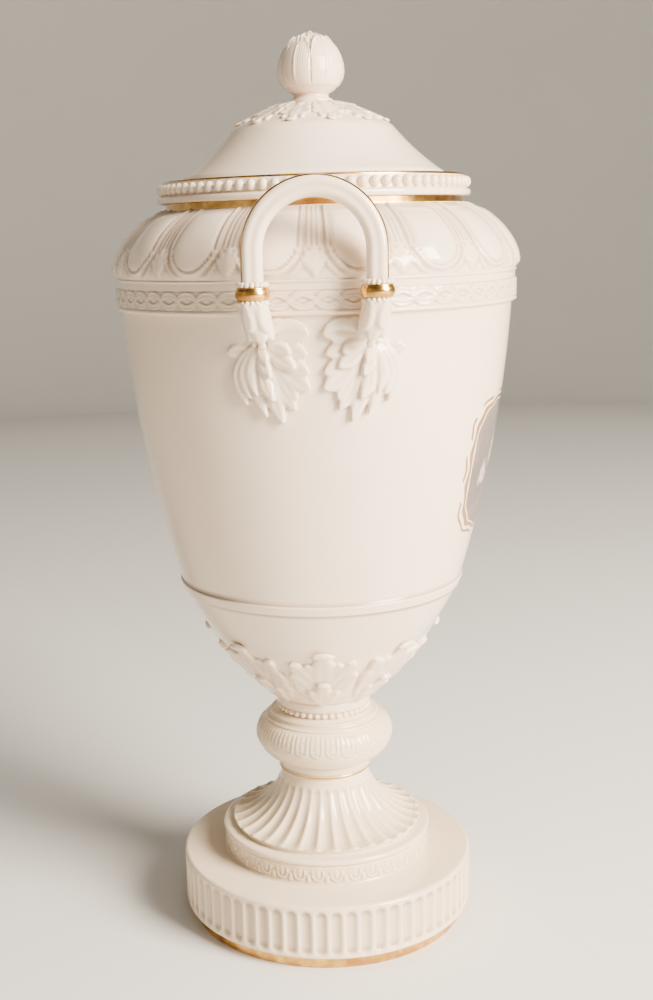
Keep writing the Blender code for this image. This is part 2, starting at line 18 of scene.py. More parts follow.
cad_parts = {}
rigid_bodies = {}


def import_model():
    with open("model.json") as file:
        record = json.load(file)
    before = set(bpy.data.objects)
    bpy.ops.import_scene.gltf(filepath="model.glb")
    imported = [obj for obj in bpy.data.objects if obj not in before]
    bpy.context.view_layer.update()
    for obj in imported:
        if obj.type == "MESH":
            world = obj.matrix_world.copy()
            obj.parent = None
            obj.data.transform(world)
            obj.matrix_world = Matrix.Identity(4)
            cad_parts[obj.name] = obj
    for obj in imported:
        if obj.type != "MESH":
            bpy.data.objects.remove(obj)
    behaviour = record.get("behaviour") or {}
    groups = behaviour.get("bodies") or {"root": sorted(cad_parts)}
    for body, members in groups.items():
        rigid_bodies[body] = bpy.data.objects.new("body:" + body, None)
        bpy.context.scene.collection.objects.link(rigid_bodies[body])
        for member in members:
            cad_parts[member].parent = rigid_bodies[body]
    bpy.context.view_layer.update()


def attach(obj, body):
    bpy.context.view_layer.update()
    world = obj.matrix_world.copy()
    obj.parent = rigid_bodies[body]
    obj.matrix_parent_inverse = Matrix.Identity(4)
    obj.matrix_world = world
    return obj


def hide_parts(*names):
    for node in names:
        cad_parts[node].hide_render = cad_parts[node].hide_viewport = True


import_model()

# %% [markdown]
# ## The camera
#
# The photograph was taken from the side of one handle, a little above the rim and close by, so
# circles open out downward. The camera's place and tilt come from the vase's own circles; the lens
# shift only sets the vase where the picture's frame has it.

# %% Camera
CAMERA_PLACE = Vector((-0.8294, 0.0, 0.4470))
CAMERA_YAW = math.radians(-2.5)
CAMERA_PITCH = math.radians(13.67)
CAMERA_ROLL = math.radians(-1.785)


def add_camera():
    forward = Vector((math.cos(CAMERA_YAW) * math.cos(CAMERA_PITCH),
                      -math.sin(CAMERA_YAW) * math.cos(CAMERA_PITCH), -math.sin(CAMERA_PITCH)))
    level = Vector((-math.sin(CAMERA_YAW), -math.cos(CAMERA_YAW), 0.0))
    upright = level.cross(forward)
    right = math.cos(CAMERA_ROLL) * level + math.sin(CAMERA_ROLL) * upright
    up = right.cross(forward)
    camera = bpy.data.objects.new("camera", bpy.data.cameras.new("camera"))
    bpy.context.scene.collection.objects.link(camera)
    axes = Matrix((right, up, -forward)).transposed().to_4x4()
    camera.matrix_world = Matrix.Translation(CAMERA_PLACE) @ axes
    camera.data.sensor_width = 36.0
    camera.data.lens = 47.69
    camera.data.shift_x = 0.0622
    camera.data.shift_y = 0.0510
    camera.data.clip_start = 0.01
    bpy.context.scene.camera = camera
    return camera


camera = add_camera()
print("camera stands", round(CAMERA_PLACE.length, 3), "m from the vase's foot")

# %% [markdown]
# ## Light and floor
#
# Glazed porcelain is read by what it reflects. One large soft window at the right makes the bright
# side and the long highlights, a weaker one at the left keeps the shaded side alive, and a pale
# floor lights the undersides as a table does.

# %% Light
def add_window(name, place, target, size, power, colour):
    light = bpy.data.lights.new(name, "AREA")
    light.shape = "RECTANGLE"
    light.size, light.size_y = size
    light.energy = power
    light.color = colour
    lamp = bpy.data.objects.new(name, light)
    bpy.context.scene.collection.objects.link(lamp)
    lamp.location = place
    lamp.rotation_euler = (Vector(target) - Vector(place)).to_track_quat("-Z", "Y").to_euler()
    return lamp


add_window("window_right", (-1.05, -1.45, 1.10), (0.0, 0.0, 0.30), (0.9, 1.3), 245.0, (1.0, 0.88, 0.73))
add_window("window_left", (-1.2, 1.7, 0.9), (0.0, 0.0, 0.25), (0.5, 1.4), 1.2, (1.0, 0.97, 0.93))
add_window("skylight", (-0.2, -0.3, 2.1), (0.0, 0.0, 0.3), (1.4, 1.4), 12.0, (1.0, 0.95, 0.87))


def pale_surroundings():
    world = bpy.data.worlds.new("pale_room")
    bpy.context.scene.world = world
    world.use_nodes = True
    background = world.node_tree.nodes["Background"]
    background.inputs["Color"].default_value = (0.82, 0.78, 0.70, 1.0)
    background.inputs["Strength"].default_value = 0.18


pale_surroundings()

# %% [markdown]
# ## Shader maths written as sums
#
# A finish is a formula: how warm the glaze is here, whether this point is gilt. A small class lets
# a socket be added and multiplied like a number, and each sign adds its own Math node. Every other
# node comes from one method, which sets the node first and then fills its sockets.

# %% A socket with the arithmetic signs
class Field:
    """A number that varies over a surface."""

    def __init__(self, finish, socket):
        self.finish = finish
        self.socket = socket

    def __add__(self, other):
        return self.finish.math("ADD", self, other)

    def __sub__(self, other):
        return self.finish.math("SUBTRACT", self, other)

    def __rsub__(self, other):
        return self.finish.math("SUBTRACT", other, self)

    def __mul__(self, other):
        return self.finish.math("MULTIPLY", self, other)

    def __truediv__(self, other):
        return self.finish.math("DIVIDE", self, other)

    def __abs__(self):
        return self.finish.math("ABSOLUTE", self)

    __radd__ = __add__
    __rmul__ = __mul__


print("arithmetic signs ready:", [sign for sign in vars(Field) if sign.startswith("__r")])


# %% A material under construction
class Finish:
    """A Principled material whose nodes are added one by one."""

    def __init__(self, name):
        self.material = bpy.data.materials.new(name)
        self.material.use_nodes = True
        self.tree = self.material.node_tree
        self.shader = self.tree.nodes["Principled BSDF"]

    def node(self, kind, settings=None, values=None):
        made = self.tree.nodes.new(kind)
        for key, value in (settings or {}).items():
            setattr(made, key, value)
        for key, value in (values or {}).items():
            self.feed(made.inputs[key], value)
        return made

    def feed(self, socket, value):
        value = value.socket if isinstance(value, Field) else value
        if isinstance(value, bpy.types.NodeSocket):
            self.tree.links.new(value, socket)
        else:
            socket.default_value = value

    def math(self, operation, *values):
        made = self.node("ShaderNodeMath", {"operation": operation}, dict(enumerate(values)))
        return Field(self, made.outputs[0])

    def rise(self, value, low, high):
        """0 below low, 1 above high, and a soft step between."""
        made = self.node("ShaderNodeMapRange", {"interpolation_type": "SMOOTHSTEP"},
                         {"Value": value, "From Min": low, "From Max": high})
        return Field(self, made.outputs["Result"])

    def blend(self, share, first, second):
        """A colour between two."""
        made = self.node("ShaderNodeMix", {"data_type": "RGBA"}, {0: share, 6: first, 7: second})
        return made.outputs[2]

    def attribute(self, name):
        return Field(self, self.node("ShaderNodeAttribute", {"attribute_name": name}).outputs["Fac"])

    def place(self):
        """The point's own X, Y and Z on the vase, in metres, and the socket that holds all three."""
        point = self.node("ShaderNodeTexCoord").outputs["Object"]
        apart = self.node("ShaderNodeSeparateXYZ", values={0: point})
        return [Field(self, apart.outputs[i]) for i in range(3)], point

    def cloud(self, point, scale, detail=2.0, roughness=0.5):
        made = self.node("ShaderNodeTexNoise", values={
            "Vector": point, "Scale": scale, "Detail": detail, "Roughness": roughness})
        return Field(self, made.outputs["Fac"])

    def relief(self, height, strength, distance):
        """Bends the light as if the surface rose by the height."""
        made = self.node("ShaderNodeBump", values={
            "Height": height, "Strength": strength, "Distance": distance})
        self.feed(self.shader.inputs["Normal"], made.outputs["Normal"])

    def show(self, values):
        for key, value in values.items():
            self.feed(self.shader.inputs[key], value)


print("a finish can:", [name for name in vars(Finish) if not name.startswith("__")])

# %% [markdown]
# ## Porcelain and gilding
#
# Warm white porcelain under a clear glossy glaze: in a hollow its colour is painted deeper, warmer
# and darker, partly for the glaze that pools there and partly as painted shade; on an edge it runs
# thin and pale, and its skin is very slightly wavy. Gold is painted on and fired, so it is a colour
# and a metal on the same surface, with a brushed look, a few thin spots and painted shade in its
# hollows. A band of gold is given by two heights, or by an attribute on the mesh.

# %% The two finishes
GOLD_PALE = (0.83, 0.52, 0.15, 1.0)
GOLD_DEEP = (0.50, 0.25, 0.05, 1.0)


def gold_colours(finish, point):
    brushed = finish.cloud(point, 900.0, 2.0)
    patchy = finish.cloud(point, 120.0, 3.0)
    colour = finish.blend(finish.rise(patchy, 0.30, 0.75), GOLD_DEEP, GOLD_PALE)
    return colour, 0.16 + 0.16 * brushed


def glaze(name, pale, warm, hollow_shade_colour, gilt_bands=(), drawing=None):
    """Glazed porcelain with bands of gold, each a lowest and highest height and a least radius."""
    finish = Finish(name)
    (x, y, z), point = finish.place()
    drift = finish.cloud(point, 7.0, 3.0)
    body = finish.blend(finish.rise(drift, 0.30, 0.72), pale, warm)
    # painted shade: hollows are blended toward the dark hollow colour, partly for glaze pooled there and
    # partly as shade; the same mark also makes the glaze rougher there
    hollow_shade = finish.attribute("hollow")
    body = finish.blend(0.70 * hollow_shade, body, hollow_shade_colour)
    speck = finish.node("ShaderNodeTexVoronoi", {"feature": "F1"}, {"Vector": point, "Scale": 30.0})
    dot = 1.0 - finish.rise(Field(finish, speck.outputs["Distance"]), 0.006, 0.011)
    body = finish.blend(0.5 * dot, body, (0.30, 0.20, 0.13, 1.0))
    if drawing:
        body = drawing(finish, body, x, y, z, point)
    gilt = finish.rise(finish.attribute("gilt"), 0.45, 0.55)
    radius = finish.math("SQRT", x * x + y * y)
    for low, high, least in gilt_bands:
        wander = 0.0003 * (finish.cloud(point, 60.0) - 0.5)
        band = (finish.rise(z + wander, low, low + 0.0002)
                * (1.0 - finish.rise(z + wander, high - 0.0002, high))
                * finish.rise(radius, least, least + 0.0002))
        gilt = finish.math("MAXIMUM", gilt, band)
    worn = finish.rise(finish.cloud(point, 210.0, 3.0), 0.24, 0.30)
    gilt = gilt * (0.55 + 0.45 * worn)
    gold, gold_roughness = gold_colours(finish, point)
    wavy = finish.cloud(point, 34.0, 2.0) + 0.25 * finish.cloud(point, 170.0, 2.0)
    glaze_roughness = 0.085 + 0.09 * drift + 0.10 * hollow_shade
    finish.show({"Base Color": finish.blend(gilt, body, gold), "Metallic": gilt, "IOR": 1.52,
                 "Roughness": glaze_roughness * (1.0 - gilt) + gold_roughness * gilt,
                 "Coat Weight": 0.25, "Coat Roughness": 0.05})
    finish.relief(wavy, 0.35, 0.0006)
    return finish.material


def gilding():
    finish = Finish("burnished_gilding")
    _, point = finish.place()
    gold, roughness = gold_colours(finish, point)
    # painted shade: the gold is blended toward dark brown in its hollows
    hollow_shade = finish.attribute("hollow")
    finish.show({"Base Color": finish.blend(0.7 * hollow_shade, gold, (0.22, 0.10, 0.03, 1.0)),
                 "Metallic": 1.0, "Roughness": roughness})
    finish.relief(finish.cloud(point, 420.0, 2.0), 0.12, 0.0003)
    return finish.material


gold = gilding()
print("gilding nodes:", len(gold.node_tree.nodes))

# %% [markdown]
# ## Outlines
#
# A turned piece is an outline swung round the axis. Each stretch of an outline is a straight line
# or a shallow arc between two corners, cut into short steps, and the corners are eased because a
# glaze never leaves an edge sharp.

# %% Stretches of an outline
def bowed(start, end, bow, step):
    """Points (radius, height) from start to end, whose middle stands out from the chord by bow."""
    start, end = np.array(start, float), np.array(end, float)
    chord = np.linalg.norm(end - start)
    count = max(2, math.ceil(chord / step))
    share = np.linspace(0.0, 1.0, count + 1)[:, None]
    if not bow:
        return start + (end - start) * share
    along = (end - start) / chord
    outward = np.array((-along[1], along[0])) * math.copysign(1.0, bow)
    half_angle = 2 * math.atan(2 * abs(bow) / chord)
    radius = chord / 2 / math.sin(half_angle)
    centre = (start + end) / 2 - outward * (radius - abs(bow))
    angle = half_angle * (2 * share - 1)
    return centre + radius * (outward * np.cos(angle) + along * np.sin(angle))


def runs(start, *moves):
    """Stretches one after the other. A move is its end, bow, step and, if it is carved, its pattern."""
    stretches = []
    for end, bow, step, *pattern in moves:
        stretches.append((bowed(start, end, bow, step), pattern[0] if pattern else None))
        start = end
    return stretches


def straight(step, *corners):
    """Moves in straight lines from corner to corner."""
    return [(corner, 0.0, step) for corner in corners]


print("a 10 mm stretch in 1 mm steps has", len(bowed((0.0, 0.0), (0.01, 0.0), 0.0, 0.001)), "points")

# %% [markdown]
# ## Turning, with relief
#
# The relief on this vase is low carving that follows the turned surface: flutes, eggs, ribbons.
# So a turned piece is a grid of points, one row for each step of the outline, and a pattern is a
# function that gives the height of the carving at each angle and each distance along the stretch.
# The outline runs down the outside and back up the inside, which makes the shell closed.

# %% Meshes and grids
def mesh_object(name, points, faces):
    mesh = bpy.data.meshes.new(name)
    faces = np.asarray(faces, np.int32)
    corners = faces.shape[1]
    mesh.vertices.add(len(points))
    mesh.vertices.foreach_set("co", np.asarray(points, np.float32).ravel())
    mesh.loops.add(faces.size)
    mesh.loops.foreach_set("vertex_index", faces.ravel())
    mesh.polygons.add(len(faces))
    mesh.polygons.foreach_set("loop_start", np.arange(0, faces.size, corners, dtype=np.int32))
    mesh.update(calc_edges=True)
    mesh.shade_smooth()
    thing = bpy.data.objects.new(name, mesh)
    bpy.context.scene.collection.objects.link(thing)
    return thing


def grid_faces(rows, columns, wrap_rows=True):
    """Quads that join each row to the next; the columns always wrap round."""
    upper = np.arange(rows if wrap_rows else rows - 1)
    lower = (upper + 1) % rows
    left = np.arange(columns)
    right = (left + 1) % columns
    corners = [upper[:, None] * columns + left, lower[:, None] * columns + left,
               lower[:, None] * columns + right, upper[:, None] * columns + right]
    return np.stack(corners, axis=-1).reshape(-1, 4)


def end_caps(rows, columns):
    """Quads across the first and the last row, which close a tube; columns is even."""
    caps = []
    for row in (0, rows - 1):
        base = row * columns
        for k in range(columns // 2 - 1):
            quad = (base + k, base + k + 1, base + columns - 2 - k, base + columns - 1 - k)
            caps.append(quad if row == 0 else quad[::-1])
    return np.array(caps)


def set_numbers(thing, name, values):
    attribute = thing.data.attributes.get(name) or thing.data.attributes.new(name, "FLOAT", "POINT")
    attribute.data.foreach_set("value", np.asarray(values, np.float32))


print("grid of 4 rows and 5 columns:", len(grid_faces(4, 5)), "faces")


# %% Pooled glaze and painted shade in hollows
def mark_hollows_for_shade(thing, depth=0.00025, passes=6):
    """Marks where the surface lies below its surroundings: the glaze pools there, and shade is painted
    there.
    """
    mesh = thing.data
    count = len(mesh.vertices)
    points = np.empty(count * 3, np.float32)
    mesh.vertices.foreach_get("co", points)
    normals = np.empty(count * 3, np.float32)
    mesh.vertex_normals.foreach_get("vector", normals)
    edges = np.empty(len(mesh.edges) * 2, np.int32)
    mesh.edges.foreach_get("vertices", edges)
    points, normals = points.reshape(-1, 3), normals.reshape(-1, 3)
    first, second = edges[0::2], edges[1::2]
    met = np.bincount(first, minlength=count) + np.bincount(second, minlength=count)
    spread = points.astype(float)
    for _ in range(passes):
        total = np.stack([np.bincount(first, spread[second, k], count)
                          + np.bincount(second, spread[first, k], count) for k in range(3)], axis=1)
        spread = 0.5 * spread + 0.5 * total / np.maximum(met, 1)[:, None]
    below = ((spread - points) * normals).sum(axis=1)
    set_numbers(thing, "hollow", np.clip(below / depth, 0.0, 1.0))


def finish_piece(thing, material):
    if "gilt" not in thing.data.attributes:
        set_numbers(thing, "gilt", np.zeros(len(thing.data.vertices)))
    mark_hollows_for_shade(thing)
    thing.data.materials.clear()
    thing.data.materials.append(material)
    thing.data.shade_smooth()
    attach(thing, "root")
    return thing


def triangles(thing):
    return sum(len(face.vertices) - 2 for face in thing.data.polygons)


# at that depth a hollow gets its full pooled glaze and its full painted shade
print("glaze pools in full 0.25 mm below the surface around it")

# %% Turned pieces
POLE = 1e-6


def close_poles(thing):
    """Draws each ring that lies on the axis together into one point."""
    work = bmesh.new()
    work.from_mesh(thing.data)
    on_axis = [point for point in work.verts if math.hypot(point.co.x, point.co.y) < 2 * POLE]
    bmesh.ops.remove_doubles(work, verts=on_axis, dist=1e-5)
    bmesh.ops.delete(work, geom=[edge for edge in work.edges if not edge.link_faces], context="EDGES")
    work.to_mesh(thing.data)
    work.free()


def turned(name, stretches, columns, material, closed=True):
    """Swings stretches round the axis. Each is a list of points and, if it is carved, its pattern."""
    angle = 2 * np.pi * np.arange(columns) / columns
    outline, heights = [], []
    for points, pattern in stretches:
        along = np.concatenate(([0.0], np.cumsum(np.linalg.norm(np.diff(points, axis=0), axis=1))))
        height = np.zeros((len(points), columns))
        if pattern:
            height = height + pattern(angle[None, :], along[:, None], points[:, :1])
        if outline and np.allclose(outline[-1][-1], points[0], atol=1e-6):
            points, height = points[1:], height[1:]
        outline.append(points)
        heights.append(height)
    outline, heights = np.vstack(outline), np.vstack(heights)
    if closed and np.allclose(outline[0], outline[-1], atol=1e-6):
        outline, heights = outline[:-1], heights[:-1]
    ahead, behind = np.roll(outline, -1, axis=0), np.roll(outline, 1, axis=0)
    if not closed:
        ahead[-1], behind[0] = outline[-1], outline[0]
    run = ahead - behind
    run /= np.maximum(np.linalg.norm(run, axis=1), 1e-9)[:, None]
    out_radius, out_height = -run[:, 1:], run[:, :1]
    radius = outline[:, :1] + heights * out_radius
    points = np.stack([radius * np.cos(angle), radius * np.sin(angle),
                       outline[:, 1:] + heights * out_height], axis=-1)
    thing = mesh_object(name, points.reshape(-1, 3), grid_faces(len(outline), columns, closed))
    if outline[:, 0].min() < 2 * POLE:
        close_poles(thing)
    finish_piece(thing, material)
    return thing


print("rings nearer the axis than", 2 * POLE, "m are drawn into a pole")

# %% [markdown]
# ## Shapes of carving
#
# A bead, a rim or a rib is a soft hump over a distance, and a flute is the same turned inward.
# `sector` folds the whole turn into one motif: its answer runs from -1 to 1 across each of them.

# %% Humps, hollows and motifs
def hump(distance, half_width):
    """1 on the line, 0 from half_width outward, round in between."""
    near = np.clip(1.0 - (distance / half_width) ** 2, 0.0, None)
    return near * near


def dome(distance, half_width):
    """The cross section of a round bar."""
    return np.sqrt(np.clip(1.0 - (distance / half_width) ** 2, 0.0, None))


def soft_step(value, low, high):
    share = np.clip((value - low) / (high - low), 0.0, 1.0)
    return share * share * (3 - 2 * share)


def sector(angle, count, shift=0.5):
    """Where the angle lies across its motif, -1 to 1; shift 0.5 puts a joint on the handles' axis."""
    return 2 * ((angle * count / (2 * np.pi) - shift + 0.5) % 1.0) - 1


print("a quarter turn in 16 motifs lies at", sector(np.array(np.pi / 2), 16))

# %% [markdown]
# ## The pedestal
#
# From the floor up: a gilt foot rim, a drum with 64 flutes, a wide flat top, a step with small leaf
# tips, a spreading foot of 32 flutes with a scalloped lip, a plain collar over a gilt line, a fat
# torus of leaves, and a hollow neck with a row of beads.

# %% Pedestal sizes
FOOT_RIM_RADIUS = 0.0913
DRUM_FOOT, DRUM_TOP, DRUM_RADIUS = 0.0086, 0.0435, 0.0960
STEP_TOP, STEP_RADIUS, STEP_SIDE = 0.0607, 0.0690, 0.0674
PETAL_RADIUS, PETAL_FOOT = 0.0623, 0.0643
WAIST, WAIST_RADIUS, COLLAR_RADIUS = 0.0993, 0.0284, 0.0300
TORUS_FOOT, PEDESTAL_TOP = 0.1065, 0.1501
DRUM_SIDE, DRUM_EDGE = DRUM_RADIUS - 0.0001, 0.0024
PETAL_LIP = (PETAL_RADIUS - 0.0002, PETAL_FOOT + 0.0004)
STEP_INSIDE, NECK_INSIDE = 0.0560, 0.0200
FLUTES, PETALS, LEAF_TIPS, TONGUES = 64, 32, 36, 28

# pale and warm glaze tones, then the dark brown painted as shade in hollows, partly for pooled glaze
IVORY = ((0.88, 0.730, 0.540, 1.0), (0.85, 0.685, 0.490, 1.0), (0.38, 0.25, 0.13, 1.0))
ivory = glaze("ivory_porcelain", *IVORY,
              gilt_bands=((-0.001, 0.0062, 0.085), (WAIST - 0.0004, WAIST + 0.0012, 0.020)))
print("the pedestal is", round(1000 * PEDESTAL_TOP, 1), "mm tall and", round(2000 * DRUM_RADIUS), "mm wide")


# %% The drum
def drum_flutes(angle, along, radius):
    """Hollow flutes with round ends between narrow ribs."""
    across = sector(angle, FLUTES) * np.pi * DRUM_RADIUS / FLUTES
    along = along + DRUM_EDGE
    half = 0.0040
    top, bottom = 0.0030 + half, 0.0349 - 0.0022 - half
    past_end = np.maximum(np.maximum(top - along, along - bottom), 0.0)
    distance = np.hypot(across, past_end)
    return -0.0017 * dome(distance, half) ** 1.3


drum = turned("foot_drum", runs(
    (0.0600, DRUM_TOP),
    ((0.0935, DRUM_TOP), 0.0, 0.008),
    ((DRUM_SIDE, DRUM_TOP - DRUM_EDGE), 0.0007, 0.0005),
    ((DRUM_SIDE, DRUM_FOOT + 0.0004), 0.0, 0.0012, drum_flutes),
    ((DRUM_RADIUS - 0.0006, DRUM_FOOT), 0.0, 0.0004),
    ((FOOT_RIM_RADIUS + 0.0004, DRUM_FOOT), 0.0, 0.0012),
    ((FOOT_RIM_RADIUS, DRUM_FOOT - 0.0006), -0.0001, 0.0003),
    ((FOOT_RIM_RADIUS, 0.0006), 0.0, 0.003),
    ((FOOT_RIM_RADIUS - 0.0006, 0.0), 0.0001, 0.0003),
    ((0.0845, 0.0), 0.0, 0.003),
    ((0.0838, 0.0007), 0.0002, 0.0004),
    ((0.0838, 0.0340), 0.0, 0.012),
    ((0.0800, 0.0375), -0.0008, 0.001),
    *straight(0.012, (0.0600, 0.0375), (0.0600, DRUM_TOP)),
), FLUTES * 9, ivory)
print("drum:", triangles(drum), "triangles")


# %% The step with its leaf tips
def leaf_tips(angle, along, radius):
    """A row of small hanging leaves: a raised rim with a rib and an olive between each two."""
    width = np.pi * STEP_RADIUS / LEAF_TIPS
    across = sector(angle, LEAF_TIPS) * width
    middle = 0.0035
    rim_centre = 0.0058
    distance = np.hypot(across, np.maximum(along - rim_centre, 0.0) * 0.9)
    arch = hump(distance - 0.0036, 0.0010) * soft_step(along, 0.0022, 0.0040)
    rib = hump(across, 0.0011) * soft_step(along, 0.0028, 0.0045) * (1 - soft_step(along, 0.0078, 0.0092))
    inside = 0.35 * np.clip(1 - distance / 0.0036, 0, 1)
    beside = width - np.abs(across)
    olive = dome(np.hypot(beside / 0.0014, (along - middle - 0.0052) / 0.0034), 1.0)
    edge = hump(along - 0.0016, 0.0008) + hump(along - 0.0124, 0.0007)
    return 0.0008 * np.maximum(np.maximum(arch, 0.8 * rib), np.maximum(0.9 * olive, inside)) + 0.0004 * edge


step = turned("foot_step", runs(
    (STEP_INSIDE, STEP_TOP),
    ((STEP_RADIUS - 0.0016, STEP_TOP), 0.0, 0.006),
    ((STEP_RADIUS - 0.0006, STEP_TOP - 0.0032), 0.0010, 0.0004),
    ((STEP_SIDE, STEP_TOP - 0.0040), 0.0, 0.0004),
    ((STEP_SIDE, DRUM_TOP + 0.0022), 0.0, 0.00055, leaf_tips),
    ((STEP_RADIUS + 0.0014, DRUM_TOP - 0.0001), -0.0008, 0.0005),
    *straight(0.012, (STEP_RADIUS, DRUM_TOP - 0.0030), (STEP_INSIDE, DRUM_TOP - 0.0030),
              (STEP_INSIDE, STEP_TOP)),
), LEAF_TIPS * 14, ivory)
print("step:", triangles(step), "triangles")


# %% The spreading foot
def spreading_flutes(angle, along, radius):
    """Flutes that open from round heads near the waist to a scalloped lip."""
    pitch = np.pi * radius / PETALS
    across = sector(angle, PETALS, 0.0) * pitch
    head = 0.0100
    half = 0.80 * pitch
    distance = np.hypot(across, np.maximum(head - along, 0.0) * 0.8)
    deep = (0.0006 + 0.0012 * soft_step(along, 0.010, 0.040)) * (1 - 0.5 * soft_step(along, 0.044, 0.052))
    lip = 0.0004 * hump(along - 0.0505, 0.0012)
    return -deep * (0.5 * dome(distance, half) + 0.5 * hump(distance, 1.2 * half)) + lip


def lip_flutes(angle, along, radius):
    """The same flutes where they run out over the lip."""
    return (1 - soft_step(along, 0.0, 0.0016)) * spreading_flutes(angle, along + 0.06, radius)


petals = turned("foot_petals", runs(
    (WAIST_RADIUS, WAIST),
    (PETAL_LIP, -0.0078, 0.0011, spreading_flutes),
    ((PETAL_RADIUS - 0.0008, PETAL_FOOT - 0.0010), 0.0004, 0.0004, lip_flutes),
    ((PETAL_RADIUS - 0.0014, STEP_TOP - 0.0004), -0.0004, 0.0006),
    ((STEP_INSIDE, STEP_TOP - 0.0004), 0.0, 0.003),
    ((NECK_INSIDE, WAIST), 0.0078, 0.008),
    ((WAIST_RADIUS, WAIST), 0.0, 0.003),
), PETALS * 16, ivory)
print("spreading foot:", triangles(petals), "triangles")


# %% The collar, the torus and the neck
def torus_leaves(angle, along, radius):
    """Low tongues over the torus, each with a rim, a rib and two curls."""
    pitch = np.pi * 0.0420 / TONGUES
    across = sector(angle, TONGUES) * pitch
    start, end = 0.0012, 0.0165
    tip = end - 0.0040
    distance = np.hypot(across, np.maximum(along - tip, 0.0) * 0.9)
    rim = hump(distance - 0.0034, 0.0009)
    rib = hump(across, 0.0008)
    curl = hump(np.hypot(np.abs(across) - 0.0018, along - tip - 0.0006), 0.0011)
    curl = np.maximum(curl, hump(np.hypot(np.abs(across) - 0.0020, along - tip + 0.0050), 0.0010))
    inside = 0.3 * np.clip(1 - distance / 0.0034, 0, 1)
    shape = np.maximum(np.maximum(rim, 0.7 * rib), np.maximum(0.8 * curl, inside))
    fade = soft_step(along, start, start + 0.003) * (1 - soft_step(along, end, end + 0.002))
    return 0.0006 * shape * fade


NECK_FILLET = (0.0352, 0.1392)
TORUS_EDGE = (0.0385, 0.1346)
TORUS = np.vstack([bowed((0.0383, 0.1340), (0.0446, 0.1232), 0.0016, 0.0006),
                   bowed((0.0446, 0.1232), (0.0302, 0.1070), 0.0042, 0.0006)[1:]])
collar = turned("foot_collar", runs(
    (NECK_INSIDE, PEDESTAL_TOP),
    ((0.0305, PEDESTAL_TOP), 0.0, 0.003),
    ((0.0308, PEDESTAL_TOP - 0.0005), 0.0001, 0.0003),
    *straight(0.002, (0.0306, 0.1446), (0.0297, 0.1441), (0.0296, 0.1402)),
    ((NECK_FILLET[0] - 0.0006, NECK_FILLET[1] - 0.0006), -0.0005, 0.0004),
    ((NECK_FILLET[0], NECK_FILLET[1] - 0.0016), 0.0005, 0.0003),
    ((TORUS_EDGE[0] - 0.0010, TORUS_EDGE[1] + 0.0008), -0.0007, 0.0005),
    ((TORUS_EDGE[0] - 0.0002, TORUS_EDGE[1] - 0.0006), 0.0005, 0.0003),
) + [(TORUS, torus_leaves)] + runs(
    TORUS[-1],
    *straight(0.002, (COLLAR_RADIUS, TORUS_FOOT - 0.0002), (COLLAR_RADIUS, WAIST + 0.0015)),
    ((COLLAR_RADIUS - 0.0002, WAIST - 0.0004), 0.0005, 0.0003),
    *straight(0.012, (NECK_INSIDE, WAIST - 0.0004), (NECK_INSIDE, PEDESTAL_TOP)),
), TONGUES * 12, ivory)
print("collar and torus:", triangles(collar), "triangles")

# %% [markdown]
# ## Rows of beads
#
# A bead row is one bead repeated round a ring, so Geometry Nodes make it: points on the spot, a
# rounded ball set at the ring's radius on each, and a turn of one step more for each point. Its
# inputs are the sizes, and it ends in real faces with a material.

# %% Making and wiring a node tree
def new_tree(name, inputs):
    tree = bpy.data.node_groups.new(name, "GeometryNodeTree")
    tree.interface.new_socket("Geometry", in_out="INPUT", socket_type="NodeSocketGeometry")
    for title, kind in inputs:
        tree.interface.new_socket(title, in_out="INPUT", socket_type=kind)
    tree.interface.new_socket("Geometry", in_out="OUTPUT", socket_type="NodeSocketGeometry")
    return tree, tree.nodes.new("NodeGroupInput"), tree.nodes.new("NodeGroupOutput")


def wire(tree, kind, settings=None, values=None):
    made = tree.nodes.new(kind)
    for key, value in (settings or {}).items():
        setattr(made, key, value)
    for key, value in (values or {}).items():
        if isinstance(value, bpy.types.NodeSocket):
            tree.links.new(value, made.inputs[key])
        else:
            made.inputs[key].default_value = value
    return made


print("one full turn is", round(math.tau, 4), "radians")


# %% Trees that set things round the axis
def round_the_axis(tree, given, output, unit):
    """Sets a copy of the unit at each step of the turn, as real faces."""
    points = wire(tree, "GeometryNodePoints", values={"Count": given.outputs["Count"]})
    index = wire(tree, "GeometryNodeInputIndex")
    step = wire(tree, "ShaderNodeMath", {"operation": "DIVIDE"}, {0: math.tau, 1: given.outputs["Count"]})
    turn = wire(tree, "ShaderNodeMath", {"operation": "MULTIPLY_ADD"},
                {0: index.outputs[0], 1: step.outputs[0], 2: given.outputs["First Angle"]})
    spin = wire(tree, "ShaderNodeCombineXYZ", values={"Z": turn.outputs[0]})
    copies = wire(tree, "GeometryNodeInstanceOnPoints", values={
        "Points": points.outputs[0], "Instance": unit, "Rotation": spin.outputs[0]})
    real = wire(tree, "GeometryNodeRealizeInstances", values={0: copies.outputs[0]})
    painted = wire(tree, "GeometryNodeSetMaterial", values={
        "Geometry": real.outputs[0], "Material": given.outputs["Material"]})
    tree.links.new(painted.outputs[0], output.inputs[0])
    return tree


def bead_tree():
    tree, given, output = new_tree("bead_row", [
        ("Count", "NodeSocketInt"), ("Ring Radius", "NodeSocketFloat"), ("Bead Size", "NodeSocketVector"),
        ("First Angle", "NodeSocketFloat"), ("Material", "NodeSocketMaterial")])
    ball = wire(tree, "GeometryNodeMeshUVSphere", values={"Segments": 10, "Rings": 7, "Radius": 1.0})
    out = wire(tree, "ShaderNodeCombineXYZ", values={"X": given.outputs["Ring Radius"]})
    bead = wire(tree, "GeometryNodeTransform", values={
        "Geometry": ball.outputs[0], "Translation": out.outputs[0], "Scale": given.outputs["Bead Size"]})
    return round_the_axis(tree, given, output, bead.outputs[0])


